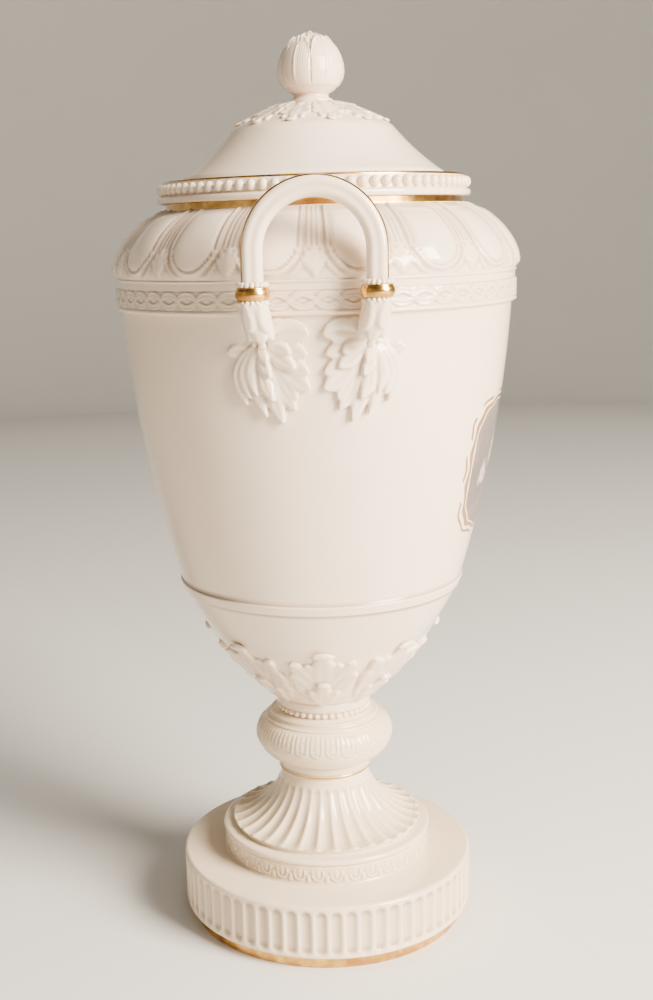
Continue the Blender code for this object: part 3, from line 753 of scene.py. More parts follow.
def copies_tree():
    tree, given, output = new_tree("copies_round_the_axis", [
        ("Count", "NodeSocketInt"), ("First Angle", "NodeSocketFloat"), ("Material", "NodeSocketMaterial")])
    return round_the_axis(tree, given, output, given.outputs["Geometry"])


BEADS, COPIES = bead_tree(), copies_tree()
print("trees:", BEADS.name, "and", COPIES.name)


# %% Running a tree, and a row of beads
def run_tree(thing, tree, **values):
    """Runs the tree on a piece and keeps the result as a plain mesh."""
    grown = thing.modifiers.new("Nodes", "NODES")
    grown.node_group = tree
    for item in tree.interface.items_tree:
        if item.in_out == "INPUT" and item.name.replace(" ", "_") in values:
            grown[item.identifier] = values[item.name.replace(" ", "_")]
    return settle(thing)


def settle(thing):
    """Replaces a piece's mesh by what its modifiers make of it."""
    bpy.context.view_layer.update()
    graph = bpy.context.evaluated_depsgraph_get()
    mesh = bpy.data.meshes.new_from_object(thing.evaluated_get(graph))
    thing.modifiers.clear()
    thing.data = mesh
    return thing


def bead_row(name, count, ring_radius, size, height, material):
    """A ring of beads at a height; size is each bead's half extent outward, round the ring and up."""
    row = bpy.data.objects.new(name, bpy.data.meshes.new(name))
    bpy.context.scene.collection.objects.link(row)
    run_tree(row, BEADS, Count=count, Ring_Radius=ring_radius, Bead_Size=size, First_Angle=0.0,
             Material=material)
    row.data.transform(Matrix.Translation((0.0, 0.0, height)))
    return row


foot_beads = bead_row("foot_beads", 40, 0.0292, (0.0019, 0.0019, 0.0020), 0.1422, ivory)
finish_piece(foot_beads, ivory)
print("beads under the body:", triangles(foot_beads), "triangles")

# %% [markdown]
# ## The body's wall
#
# The wall narrows downward in one long curve to a plain fillet, and the bowl below it is rounder.
# The same shell turns over at the bottom and comes back up inside, a wall's thickness away. The
# front carries a painting, which is colour only: a framed garden piece of soft blossoms, made up
# here from ovals and petals.

# %% Body sizes
BODY_FOOT, BOWL_TOP, WALL_TOP = 0.1504, 0.2262, 0.4019
FRIEZE_TOP, SHOULDER_FOOT, NECK_FOOT, NECK_TOP = 0.4204, 0.4290, 0.4587, 0.4640
BOWL_FOOT_RADIUS, WALL_TOP_RADIUS = 0.0311, 0.1189
FRIEZE_RADIUS, SHOULDER_RADIUS, NECK_RADIUS, MOUTH_RADIUS = 0.1208, 0.1212, 0.0892, 0.0852
FILLET_RADIUS, FILLET_TOP = 0.0904, 0.2324
BOWL_RADIUS, INNER_WALL_TOP, SHELL_INSIDE = 0.0876, 0.1139, 0.1165
WALL = bowed((WALL_TOP_RADIUS, WALL_TOP), (FILLET_RADIUS - 0.0010, FILLET_TOP), 0.0046, 0.0040)
BOWL = bowed((BOWL_RADIUS, BOWL_TOP), (BOWL_FOOT_RADIUS, BODY_FOOT), 0.0046, 0.0030)


print("the wall is", round(1000 * (WALL_TOP - FILLET_TOP), 1), "mm tall over its fillet")

# %% The painted front
PANEL_WALL_RADIUS, PANEL_HEIGHT, PANEL_HALF_WIDTH, PANEL_HALF_HEIGHT = 0.104, 0.3060, 0.0635, 0.0410
GROUND_LOW, GROUND_HIGH = (0.085, 0.045, 0.045, 1.0), (0.14, 0.11, 0.10, 1.0)
GROUND_MIST, LEAF_GREEN, HEART = (0.26, 0.20, 0.18, 1.0), (0.27, 0.28, 0.20, 1.0), (0.35, 0.22, 0.10, 1.0)
PAINT_DEEP, PAINT_PALE = (0.17, 0.075, 0.02, 1.0), (0.36, 0.19, 0.05, 1.0)


def garden_piece(finish, ground, x, y, z, point):
    """A gilt frame of scrolls round a misty ground with a loose spray of blossoms."""
    across = finish.math("ARCTAN2", x, 0.0 - y) * PANEL_WALL_RADIUS
    up = z - PANEL_HEIGHT
    wide, tall = abs(across) / PANEL_HALF_WIDTH, abs(up) / PANEL_HALF_HEIGHT
    wave = 0.018 * finish.math("COSINE", across * 290.0) * finish.math("COSINE", up * 330.0)
    reach = finish.math("POWER", wide, 4.0) + finish.math("POWER", tall, 4.0)
    oval = finish.math("POWER", reach, 0.25) + wave
    front = finish.rise(0.0 - y, 0.0, 0.001)
    inside = (1.0 - finish.rise(oval, 0.925, 0.94)) * front
    mist = finish.cloud(point, 26.0, 4.0)
    picture = finish.blend(finish.rise(up + 0.02 * mist, -0.030, 0.034), GROUND_LOW, GROUND_HIGH)
    picture = finish.blend(0.55 * finish.rise(mist, 0.42, 0.66), picture, GROUND_MIST)
    for blossom in BLOSSOMS:
        picture = paint_blossom(finish, picture, across, up, *blossom)
    painted = finish.blend(inside, ground, picture)
    rim = finish.rise(oval, 0.945, 0.955) * (1.0 - finish.rise(oval, 0.998, 1.008))
    outer = finish.rise(oval, 1.035, 1.045) * (1.0 - finish.rise(oval, 1.065, 1.08))
    broken = finish.rise(finish.math("COSINE", across * 190.0 + up * 240.0), -0.35, -0.10)
    gilt_lines = finish.math("MAXIMUM", rim, outer * broken) * front
    gilt_paint = finish.blend(finish.cloud(point, 240.0), PAINT_DEEP, PAINT_PALE)
    return finish.blend(gilt_lines, painted, gilt_paint)


BLOSSOMS = [
    (0.000, 0.002, 0.0125, (0.62, 0.36, 0.36, 1.0)), (-0.021, 0.007, 0.0095, (0.70, 0.55, 0.42, 1.0)),
    (0.022, -0.005, 0.0100, (0.52, 0.34, 0.45, 1.0)), (-0.012, -0.014, 0.0080, (0.72, 0.62, 0.52, 1.0)),
    (0.012, 0.018, 0.0078, (0.66, 0.47, 0.42, 1.0)), (-0.039, -0.006, 0.0070, (0.56, 0.38, 0.44, 1.0)),
    (0.041, 0.008, 0.0072, (0.70, 0.56, 0.46, 1.0))]


def paint_blossom(finish, picture, across, up, middle_across, middle_up, size, colour):
    """A five-petalled flower with a soft edge, a dark heart and a leaf behind it."""
    dx, dy = across - middle_across, up - middle_up
    away = finish.math("SQRT", dx * dx + dy * dy)
    around = finish.math("ARCTAN2", dy, dx)
    reach = size * (0.78 + 0.22 * abs(finish.math("COSINE", around * 2.5)))
    leaf = size * (0.55 + 0.95 * abs(finish.math("COSINE", around * 1.5 + 0.6)))
    picture = finish.blend(0.65 * (1.0 - finish.rise(away - leaf, -0.0018, 0.0004)), picture, LEAF_GREEN)
    picture = finish.blend(0.9 * (1.0 - finish.rise(away - reach, -0.0012, 0.0002)), picture, colour)
    pale = tuple(min(1.0, 1.22 * c) for c in colour[:3]) + (1.0,)
    petal = finish.rise(abs(finish.math("COSINE", around * 2.5)), 0.35, 0.9)
    shine = petal * (1.0 - finish.rise(away - 0.72 * reach, -0.002, 0.001))
    picture = finish.blend(0.6 * shine, picture, pale)
    return finish.blend(0.8 * (1.0 - finish.rise(away, 0.10 * size, 0.26 * size)), picture, HEART)


# pale and warm glaze tones, then the dark brown painted as shade in hollows, partly for pooled glaze
WARM = ((0.88, 0.735, 0.580, 1.0), (0.86, 0.705, 0.545, 1.0), (0.40, 0.25, 0.15, 1.0))
painted_porcelain = glaze("painted_porcelain", *WARM, drawing=garden_piece)
print("painted porcelain nodes:", len(painted_porcelain.node_tree.nodes))

# %% The wall and the bowl
wall = turned("body_wall", runs(
    (INNER_WALL_TOP, WALL_TOP + 0.0002),
    *straight(0.002, (WALL_TOP_RADIUS, WALL_TOP + 0.0002), (WALL_TOP_RADIUS, WALL_TOP)),
) + [(WALL, None)] + runs(
    (FILLET_RADIUS - 0.0010, FILLET_TOP),
    ((FILLET_RADIUS, FILLET_TOP - 0.0010), 0.0003, 0.0003),
    ((FILLET_RADIUS - 0.0016, BOWL_TOP + 0.0008), 0.0, 0.0008),
    ((BOWL_RADIUS, BOWL_TOP), 0.0003, 0.0003),
) + [(BOWL, None)] + runs(
    (BOWL_FOOT_RADIUS, BODY_FOOT),
    ((POLE, BODY_FOOT), 0.0, 0.008),
    ((POLE, 0.1594), 0.0, 0.02),
    ((0.0270, 0.1600), 0.0, 0.008),
    ((0.0826, BOWL_TOP), -0.0046, 0.006),
    ((INNER_WALL_TOP, WALL_TOP), 0.0, 0.012),
    ((INNER_WALL_TOP, WALL_TOP + 0.0002), 0.0, 0.002),
), 224, painted_porcelain)
print("wall and bowl:", triangles(wall), "triangles")

# %% [markdown]
# ## The frieze
#
# A guilloche: two ribbons that cross over and under each other round the vase, with a small boss in
# each eye. The distance to a sine curve gives a ribbon, and which one lies on top changes at every
# crossing.

# %% The ribbon frieze
LOOPS = 56
warm_glaze = glaze("warm_porcelain", *WARM, gilt_bands=((NECK_FOOT + 0.0002, NECK_TOP + 0.001, 0.0870),))


def ribbon(across, along, swing, pitch, sign):
    """The two raised edges and the flat of one ribbon, and the distance to its middle line."""
    slope = swing * np.pi / pitch * np.cos(np.pi * across / pitch)
    wave = np.sin(np.pi * across / pitch)
    offset = along - sign * swing * wave * (1.3 - 0.3 * wave ** 2)
    distance = np.abs(offset) / np.sqrt(1 + slope ** 2)
    return 0.55 * (distance < 0.00155) + hump(distance - 0.0012, 0.0006) * 0.55, distance


def guilloche(angle, along, radius):
    pitch = 2 * np.pi * FRIEZE_RADIUS / LOOPS
    across = angle * FRIEZE_RADIUS
    centred = along - 0.0091
    first, near_first = ribbon(across, centred, 0.0034, pitch, 1)
    second, near_second = ribbon(across, centred, 0.0034, pitch, -1)
    first_over = np.cos(np.pi * across / pitch) > 0
    over_first = np.where(near_first < 0.0017, first, second)
    over_second = np.where(near_second < 0.0017, second, first)
    woven = np.where(first_over, over_first, over_second)
    eye = np.hypot((across / pitch - 0.5) % 1.0 - 0.5, centred / pitch) * pitch
    boss = 1.1 * hump(eye, 0.0014)
    lines = hump(along - 0.0040, 0.0007)
    return 0.0008 * np.maximum(woven, boss) - 0.0004 * lines


FRIEZE_LOW, FRIEZE_HIGH = WALL_TOP + 0.0026, FRIEZE_TOP - 0.0016
frieze = turned("body_frieze", runs(
    (SHELL_INSIDE, FRIEZE_TOP),
    ((FRIEZE_RADIUS + 0.0005, FRIEZE_TOP), 0.0, 0.003),
    ((FRIEZE_RADIUS + 0.0006, FRIEZE_TOP - 0.0010), 0.0002, 0.0003),
    ((FRIEZE_RADIUS, FRIEZE_HIGH), 0.0, 0.0003),
    ((FRIEZE_RADIUS, FRIEZE_LOW), 0.0, 0.0005, guilloche),
    ((FRIEZE_RADIUS + 0.0008, FRIEZE_LOW - 0.0006), -0.0001, 0.0003),
    ((FRIEZE_RADIUS + 0.0008, WALL_TOP + 0.0004), 0.0003, 0.0005),
    ((FRIEZE_RADIUS - 0.0002, WALL_TOP), 0.0002, 0.0004),
    *straight(0.004, (SHELL_INSIDE, WALL_TOP), (SHELL_INSIDE, FRIEZE_TOP)),
), LOOPS * 11, warm_glaze)
print("frieze:", triangles(frieze), "triangles")

# %% [markdown]
# ## The shoulder
#
# Egg and dart, sixteen of each: a smooth egg in a thin raised rim that is open at the top, a second
# rim outside it, and between two eggs a ribbed dart that ends in an arrowhead. A point's distance to
# a U shape gives both rims at once.

# %% Egg and dart
EGGS = 16
SHOULDER_EDGE = (0.1208, FRIEZE_TOP - 0.0001)
SHOULDER = np.vstack([
    bowed((NECK_RADIUS + 0.0003, NECK_FOOT - 0.0004), (SHOULDER_RADIUS, SHOULDER_FOOT), 0.0046, 0.00072),
    bowed((SHOULDER_RADIUS, SHOULDER_FOOT), SHOULDER_EDGE, 0.0008, 0.00072)[1:]])


def egg_and_dart(angle, along, radius):
    half = np.pi * radius / EGGS
    share = sector(angle, EGGS)
    across = share * 0.0206
    distance = np.hypot(across, 0.80 * np.maximum(along - 0.0320, 0.0))
    egg = 0.0019 * np.sqrt(np.clip(1 - (distance / 0.0128) ** 2, 0, 1)) * soft_step(along, 0.001, 0.016)
    rim = 0.0011 * hump(distance - 0.0140, 0.0010)
    channel = -0.0005 * hump(distance - 0.0162, 0.0016)
    shell = 0.0007 * (1 - soft_step(distance, 0.0176, 0.0188)) + 0.0004 * hump(distance - 0.0178, 0.0009)
    beside = (1 - np.abs(share)) * half
    rib = 0.0010 * hump(beside, 0.0010)
    flank = 0.0006 * hump(beside - 0.0021, 0.0007) * (1 - soft_step(along, 0.030, 0.036))
    spread = np.where(along < 0.0440, (along - 0.0290) / 0.0150, (0.0535 - along) / 0.0095)
    barb = 0.0056 * soft_step(spread, 0.0, 1.0)
    arrow = 0.0008 * (1 - soft_step(beside - barb, -0.0016, 0.0008)) * soft_step(spread, 0.0, 0.3)
    edge = soft_step(along, 0.0, 0.0015) * (1 - soft_step(along, 0.0505, 0.0530))
    return edge * (np.maximum.reduce([egg + shell, rim + shell, shell, rib, flank, arrow]) + channel)


shoulder = turned("body_shoulder", runs(
    (MOUTH_RADIUS + 0.0006, NECK_TOP),
    ((NECK_RADIUS - 0.0006, NECK_TOP), 0.0, 0.002),
    ((NECK_RADIUS - 0.0001, NECK_TOP - 0.0006), 0.0001, 0.0003),
    ((NECK_RADIUS - 0.0001, NECK_FOOT + 0.0002), 0.0, 0.0008),
    ((NECK_RADIUS + 0.0003, NECK_FOOT - 0.0004), -0.0001, 0.0003),
) + [(SHOULDER, egg_and_dart)] + runs(
    SHOULDER_EDGE,
    ((SHELL_INSIDE, FRIEZE_TOP - 0.0001), 0.0, 0.003),
    ((SHELL_INSIDE, SHOULDER_FOOT), 0.0, 0.004),
    ((MOUTH_RADIUS, NECK_FOOT - 0.0020), -0.0042, 0.006),
    *straight(0.003, (MOUTH_RADIUS, NECK_TOP - 0.0006), (MOUTH_RADIUS + 0.0006, NECK_TOP)),
), EGGS * 32, warm_glaze)
print("shoulder:", triangles(shoulder), "triangles")

# %% [markdown]
# ## The lid
#
# An ogee dome on a beaded rim, with a flange that drops into the mouth. The rim's top edge carries a
# thin gilt line. The beads stand in a shallow channel, so they are rounded balls half sunk in it.

# %% Lid sizes and the cover
LID_FOOT, LID_LEDGE, DOME_TOP = 0.4643, 0.4754, 0.5193
RIM_RADIUS, DOME_RADIUS, BEND = 0.0944, 0.0782, (0.0484, 0.5042)
DOME_INSIDE = DOME_TOP - 0.0045
FLANGE_OUTSIDE, FLANGE_INSIDE, FLANGE_FOOT = 0.0844, 0.0804, LID_FOOT - 0.0080
CROWN = bowed((0.0112, DOME_TOP), BEND, 0.0020, 0.0025)
FLARE = bowed(BEND, (DOME_RADIUS, LID_LEDGE + 0.0018), -0.0014, 0.0025)
lid_glaze = glaze("lid_porcelain", *WARM, gilt_bands=((LID_LEDGE - 0.0013, LID_LEDGE + 0.0004, 0.0894),))

cover = turned("lid_cover", runs(
    (POLE, DOME_TOP), (CROWN[0], 0.0, 0.006),
) + [(CROWN, None), (FLARE, None)] + runs(
    (DOME_RADIUS, LID_LEDGE + 0.0018),
    ((DOME_RADIUS + 0.0022, LID_LEDGE + 0.0003), -0.0005, 0.0005),
    ((0.0894, LID_LEDGE), 0.0, 0.001),
    ((0.0904, LID_LEDGE - 0.0010), 0.0003, 0.0003),
    ((0.0912, 0.4672), 0.0, 0.0006),
    ((0.0934, 0.4664), -0.0002, 0.0003),
    ((0.0940, 0.4640), 0.0004, 0.0004),
    ((0.0926, 0.4626), 0.0004, 0.0003),
    *straight(0.003, (0.0908, LID_FOOT), (FLANGE_OUTSIDE, LID_FOOT), (FLANGE_OUTSIDE, FLANGE_FOOT),
              (FLANGE_INSIDE, FLANGE_FOOT), (FLANGE_INSIDE, 0.4716), (0.0750, 0.4735)),
    ((0.0465, 0.4998), 0.0014, 0.005),
    ((0.0112, DOME_INSIDE), -0.0018, 0.005),
    ((POLE, DOME_INSIDE), 0.0, 0.006),
    ((POLE, DOME_TOP), 0.0, 0.01),
), 224, lid_glaze)
lid_beads = bead_row("lid_beads", 84, RIM_RADIUS - 0.0026, (0.0025, 0.0028, 0.0031), 0.4705, lid_glaze)
finish_piece(lid_beads, lid_glaze)
print("cover:", triangles(cover), "beads:", triangles(lid_beads), "triangles")

# %% [markdown]
# ## The bud
#
# The knob is a closed bud: six broad ribbed leaves wrap it, their toothed tips lie open near the
# top, and six narrower ones close it behind them, with small dark hollows between the teeth. All of
# that is a pattern of heights on a turned egg.

# %% The bud
BUD_TOP = 0.5592
BUD_LEAVES = 6
BUD_SINK = 0.0008


def bud_leaves(angle, along, radius):
    """Outer leaves to a broad toothed tip, inner ones behind, with veins that fan out along the leaf."""
    rise = 1.0 - along / 0.0425
    share = sector(angle, BUD_LEAVES)
    behind = sector(angle, BUD_LEAVES, 0.0)
    tooth = 0.035 * np.abs(np.cos(2.5 * np.pi * share))
    outer_top = 0.76 - 0.30 * np.abs(share) ** 4 + tooth
    inner_top = 0.90 - 0.30 * np.abs(behind) ** 3 + 0.03 * np.abs(np.cos(2.5 * np.pi * behind))
    outer = 1 - soft_step(rise - outer_top, -0.020, 0.005)
    inner = 1 - soft_step(rise - inner_top, -0.020, 0.005)
    fan = share * (1.0 - 0.45 * np.clip(rise, 0.0, 1.0))
    veins = 0.00010 * np.cos(16.0 * np.pi * fan) * soft_step(rise, 0.08, 0.35)
    midrib = 0.00035 * hump(share, 0.14) * soft_step(rise, 0.02, 0.2)
    seam = soft_step(rise, 0.02, 0.12) * (1 - soft_step(rise, 0.70, 0.80))
    gap = 0.0006 * hump(1 - np.abs(share), 0.09) * seam
    lift = 0.0006 * hump(rise - outer_top + 0.04, 0.08)
    pits = 0.0020 * hump(np.hypot((np.abs(share) - 0.42) * 1.7, (rise - outer_top - 0.055) * 8.5), 0.36)
    top_pits = 0.0018 * hump(np.hypot((np.abs(behind) - 0.5) * 1.1, (rise - 0.955) * 9.0), 0.32)
    fade = soft_step(rise, 0.0, 0.04) * soft_step(along, 0.0002, 0.0030)
    leaves = 0.0007 * outer + 0.0006 * inner + (veins + midrib + lift) * outer
    return fade * (leaves - gap - pits - top_pits - BUD_SINK)


BUD_WIDEST, KNOB_NECK = (0.0190, 0.5372), (0.0106, 0.5236)
bud_outline = np.vstack([bowed((POLE, BUD_TOP), BUD_WIDEST, 0.0048, 0.0005),
                         bowed(BUD_WIDEST, KNOB_NECK, 0.0026, 0.0006)[1:]])
bud = turned("finial_bud", [(bud_outline, bud_leaves)] + runs(
    KNOB_NECK,
    ((0.0110, 0.5214), -0.0004, 0.0004),
    ((0.0126, 0.5206), -0.0002, 0.0004),
    ((0.0126, DOME_TOP - 0.0010), 0.0004, 0.0004),
    ((POLE, DOME_TOP - 0.0010), 0.0, 0.006),
    ((POLE, BUD_TOP), 0.0, 0.05),
), BUD_LEAVES * 44, lid_glaze)
print("bud:", triangles(bud), "triangles")

# %% [markdown]
# ## Acanthus leaves
#
# A carved leaf is a handful of lobes that overlap like feathers. Each lobe here is a soft wedge laid
# along a curve: steep at its sides, hollowed along its middle, with its tip lifted. The lobes of a
# leaf are run together with a voxel remesh and smoothed, which rounds every joint as a glaze does.

# %% One lobe
LEAF_DEPTH = 0.0022


def lobe(place, start, bend, end, width, level, crest=0.0012, lift=0.0018, groove=0.0007, blunt=0.5):
    """A closed wedge on the curve start, bend, end, in the leaf's own metres: sideways, along, outward."""
    rows, across = 18, 9
    t = np.linspace(0.0, 1.0, rows)[:, None]
    start, bend, end = (np.array(corner, float) for corner in (start, bend, end))
    middle = (1 - t) ** 2 * start + 2 * t * (1 - t) * bend + t ** 2 * end
    run = 2 * (1 - t) * (bend - start) + 2 * t * (end - bend)
    run /= np.linalg.norm(run, axis=1)[:, None]
    side = np.stack([-run[:, 1], run[:, 0]], axis=1)
    half = width / 2 * np.clip(0.35 + 1.1 * t ** 0.8, 0, 1) * np.clip(1 - t ** 5, 0.0, 1.0) ** blunt
    u = np.linspace(-1.0, 1.0, across)[None, :]
    flat = middle[:, None, :] + (half * u)[:, :, None] * side[:, None, :]
    vein = groove * np.exp(-(u / 0.22) ** 2) * (1 - 0.6 * t)
    top = level + crest * (1 - np.abs(u) ** 3) + lift * t ** 2 - vein
    bottom = np.full_like(top, -LEAF_DEPTH)
    upper = place(flat[..., 0], flat[..., 1], top)
    lower = place(flat[..., 0], flat[..., 1], bottom)[:, ::-1]
    ring = np.concatenate([upper, lower], axis=1)
    points = ring.reshape(-1, 3)
    columns = 2 * across
    return points, np.vstack([grid_faces(rows, columns, wrap_rows=False), end_caps(rows, columns)])


def leaf_object(name, lobes, voxel):
    """Runs the lobes together into one skin."""
    points, faces, count = [], [], 0
    for lobe_points, lobe_faces in lobes:
        points.append(lobe_points)
        faces.append(lobe_faces + count)
        count += len(lobe_points)
    thing = mesh_object(name, np.vstack(points), np.vstack(faces))
    remesh = thing.modifiers.new("Skin", "REMESH")
    remesh.mode = "VOXEL"
    remesh.voxel_size = voxel
    soften = thing.modifiers.new("Glaze", "SMOOTH")
    soften.factor = 0.5
    soften.iterations = 3
    return settle(thing)


def merged(name, things, material):
    """Makes one piece of several meshes."""
    points, faces, gilt, count = [], [], [], 0
    for thing in things:
        mesh = thing.data
        here = np.empty(len(mesh.vertices) * 3, np.float32)
        mesh.vertices.foreach_get("co", here)
        points.append(here.reshape(-1, 3))
        for face in mesh.polygons:
            faces.append([count + corner for corner in face.vertices])
        count += len(mesh.vertices)
    joined = bpy.data.meshes.new(name)
    joined.from_pydata(np.vstack(points).tolist(), [], faces)
    piece = bpy.data.objects.new(name, joined)
    bpy.context.scene.collection.objects.link(piece)
    for thing in things:
        bpy.data.objects.remove(thing)
    return finish_piece(piece, material)


def on_table(sideways, forward, outward):
    """Lays a leaf's own metres flat, to look at one lobe."""
    return np.stack([sideways, forward, outward], axis=-1)


trial = lobe(on_table, (0, 0), (0, 1), (0, 2), 1, 0)
print("a lobe has", len(trial[0]), "points")

# %% [markdown]
# ## The leaves that hold the bowl
#
# Eight leaves grow from the joint up the bowl. Each has a broad smooth middle that ends in a rolled
# bright tip, and pairs of pointed side lobes. One leaf is made, and the node tree sets it eight
# times round the axis, one of them under each handle.

# %% A place on a turned surface
def on_outline(outline, from_end=False):
    """A function that lays (sideways, along, outward) metres on an outline, at angle 0."""
    line = outline[::-1] if from_end else outline
    along = np.concatenate(([0.0], np.cumsum(np.linalg.norm(np.diff(line, axis=0), axis=1))))
    run = np.gradient(line, axis=0)
    run /= np.linalg.norm(run, axis=1)[:, None]
    out = np.stack([-run[:, 1], run[:, 0]], axis=1) * (-1.0 if from_end else 1.0)

    def place(sideways, forward, outward):
        radius, height = (np.interp(forward, along, line[:, k]) for k in (0, 1))
        out_radius, out_height = (np.interp(forward, along, out[:, k]) for k in (0, 1))
        angle = sideways / np.maximum(radius, 0.004)
        spread = radius + outward * out_radius
        lifted = height + outward * out_height
        return np.stack([spread * np.cos(angle), spread * np.sin(angle), lifted], axis=-1)

    return place


print("straight up the bowl:", on_outline(BOWL, from_end=True)(0.0, 0.02, 0.001).round(4))


# %% Both sides of a leaf
def mirrored(lobes):
    """Adds the other side's lobe for each one with a sideways lean."""
    both = []
    for start, bend, end, *sizes in lobes:
        both.append((start, bend, end, *sizes))
        if end[0]:
            both.append(((-start[0], start[1]), (-bend[0], bend[1]), (-end[0], end[1]), *sizes))
    return both


print("one leaning lobe makes", len(mirrored([((0, 0), (1, 1), (1, 2))])))

# %% Calyx leaves
CALYX_LOBES = mirrored([
    ((0.001, 0.003), (0.006, 0.008), (0.0115, 0.0180), 0.0085, -0.0002, 0.0008, 0.0012, 0.0003),
    ((0.001, 0.004), (0.009, 0.016), (0.0170, 0.0305), 0.0105, 0.0, 0.0009, 0.0014, 0.0004),
    ((0.002, 0.010), (0.010, 0.026), (0.0205, 0.0435), 0.0120, 0.0002, 0.0010, 0.0018, 0.0005),
    ((0.003, 0.018), (0.009, 0.038), (0.0200, 0.0550), 0.0125, 0.0003, 0.0010, 0.0020, 0.0005),
    ((0.003, 0.024), (0.006, 0.040), (0.0105, 0.0540), 0.0090, 0.0002, 0.0009, 0.0012, 0.0003),
    ((0.0, 0.003), (0.0, 0.030), (0.0, 0.0630), 0.0180, 0.0004, 0.0008, 0.0014, 0.0004),
    ((0.0, 0.003), (0.0, 0.014), (0.0, 0.0330), 0.0110, 0.0014, 0.0008, 0.0016, 0.0004),
    ((0.001, 0.004), (0.004, 0.014), (0.0085, 0.0250), 0.0075, 0.0012, 0.0008, 0.0014, 0.0003),
    ((0.001, 0.003), (0.003, 0.008), (0.0060, 0.0150), 0.0055, 0.0014, 0.0006, 0.0010, 0.0002),
])
on_bowl = on_outline(BOWL, from_end=True)


def rolled_tip(place, centre, width, length, height):
    """The rolled end of a leaf: a plump spindle laid across it."""
    rows, columns = 13, 14
    u = np.linspace(-1.0, 1.0, rows)[:, None]
    spin = 2 * np.pi * np.arange(columns)[None, :] / columns
    thick = np.sqrt(np.clip(1 - np.abs(u) ** 2.4, 0.0004, 1))
    sideways = centre[0] + u * width / 2 + 0 * spin
    forward = centre[1] + thick * length / 2 * np.cos(spin) - 0.0016 * u ** 2
    outward = centre[2] + thick * height / 2 * np.sin(spin)
    points = place(sideways, forward, outward).reshape(-1, 3)
    return points, np.vstack([grid_faces(rows, columns, wrap_rows=False), end_caps(rows, columns)])


calyx = leaf_object("body_calyx", [lobe(on_bowl, *sizes) for sizes in CALYX_LOBES]
                    + [rolled_tip(on_bowl, (0.0, 0.0636, 0.0026), 0.0165, 0.0050, 0.0038),
                       rolled_tip(on_bowl, (0.0, 0.0332, 0.0032), 0.0095, 0.0036, 0.0030)], 0.00106)
run_tree(calyx, COPIES, Count=8, First_Angle=0.0, Material=warm_glaze)
finish_piece(calyx, warm_glaze)
print("calyx:", triangles(calyx), "triangles")

# %% Leaves round the knob
LID_LOBES = mirrored([
    ((0.0, 0.003), (0.0, 0.018), (0.0, 0.0370), 0.0076, 0.0001, 0.0006, 0.0008, 0.0003),
    ((0.0, 0.003), (0.0, 0.008), (0.0, 0.0165), 0.0060, 0.0006, 0.0005, 0.0006, 0.0002),
    ((0.001, 0.004), (0.0030, 0.010), (0.0052, 0.0150), 0.0044, 0.0001, 0.0005, 0.0008, 0.0002),
    ((0.001, 0.010), (0.0040, 0.016), (0.0072, 0.0220), 0.0056, 0.0001, 0.0005, 0.0009, 0.0002),
    ((0.001, 0.016), (0.0045, 0.023), (0.0092, 0.0285), 0.0060, 0.0001, 0.0005, 0.0010, 0.0002),
    ((0.001, 0.022), (0.0035, 0.029), (0.0062, 0.0345), 0.0052, 0.0001, 0.0005, 0.0009, 0.0002),
])
on_crown = on_outline(np.vstack([CROWN, FLARE[1:]]))
lid_leaf = leaf_object("lid_leaves", [lobe(on_crown, *sizes) for sizes in LID_LOBES]
                       + [rolled_tip(on_crown, (0.0, 0.0372, 0.0010), 0.0078, 0.0030, 0.0018)], 0.00070)
run_tree(lid_leaf, COPIES, Count=12, First_Angle=math.pi / 12, Material=lid_glaze)
finish_piece(lid_leaf, lid_glaze)
print("lid leaves:", triangles(lid_leaf), "triangles")

# %% [markdown]
# ## The handles
#
# Each handle is an arch sprung from two gilt rings. Below each ring a husk of folded leaf lips
# narrows down to the wall, and there a large acanthus leaf fans out, more to its own side than to
# the other. The two legs mirror each other, and so do the two handles.

# %% The arch
HANDLE_X, HALF_SPAN, RING_HEIGHT, SPRING = 0.1300, 0.0325, 0.4143, 0.4353
TUBE_RADIUS = 0.0062
handle_glaze = glaze("handle_porcelain", *WARM)


def swept(points, normals, sides, section):
    """Carries a section along a path; each section point is outward from the path's bend and in front."""
    points = np.asarray(points, float)
    run = np.gradient(points, axis=0)
    run /= np.linalg.norm(run, axis=1)[:, None]
    front = np.cross(run, normals)
    angle = 2 * np.pi * np.arange(sides) / sides
    reach = section(angle)
    ring = (points[:, None, :]
            + reach[None, :, None] * (np.cos(angle)[None, :, None] * normals[:, None, :]
                                      + np.sin(angle)[None, :, None] * front[:, None, :]))
    return ring


def arch_section(angle):
    """Nearly round, with soft arrises at the four corners and a shallow groove down front and back."""
    groove = np.exp(-((np.abs(np.sin(angle)) - 1.0) / 0.035) ** 2)
    return TUBE_RADIUS * (1.0 - 0.045 * np.cos(4 * angle) - 0.07 * groove)


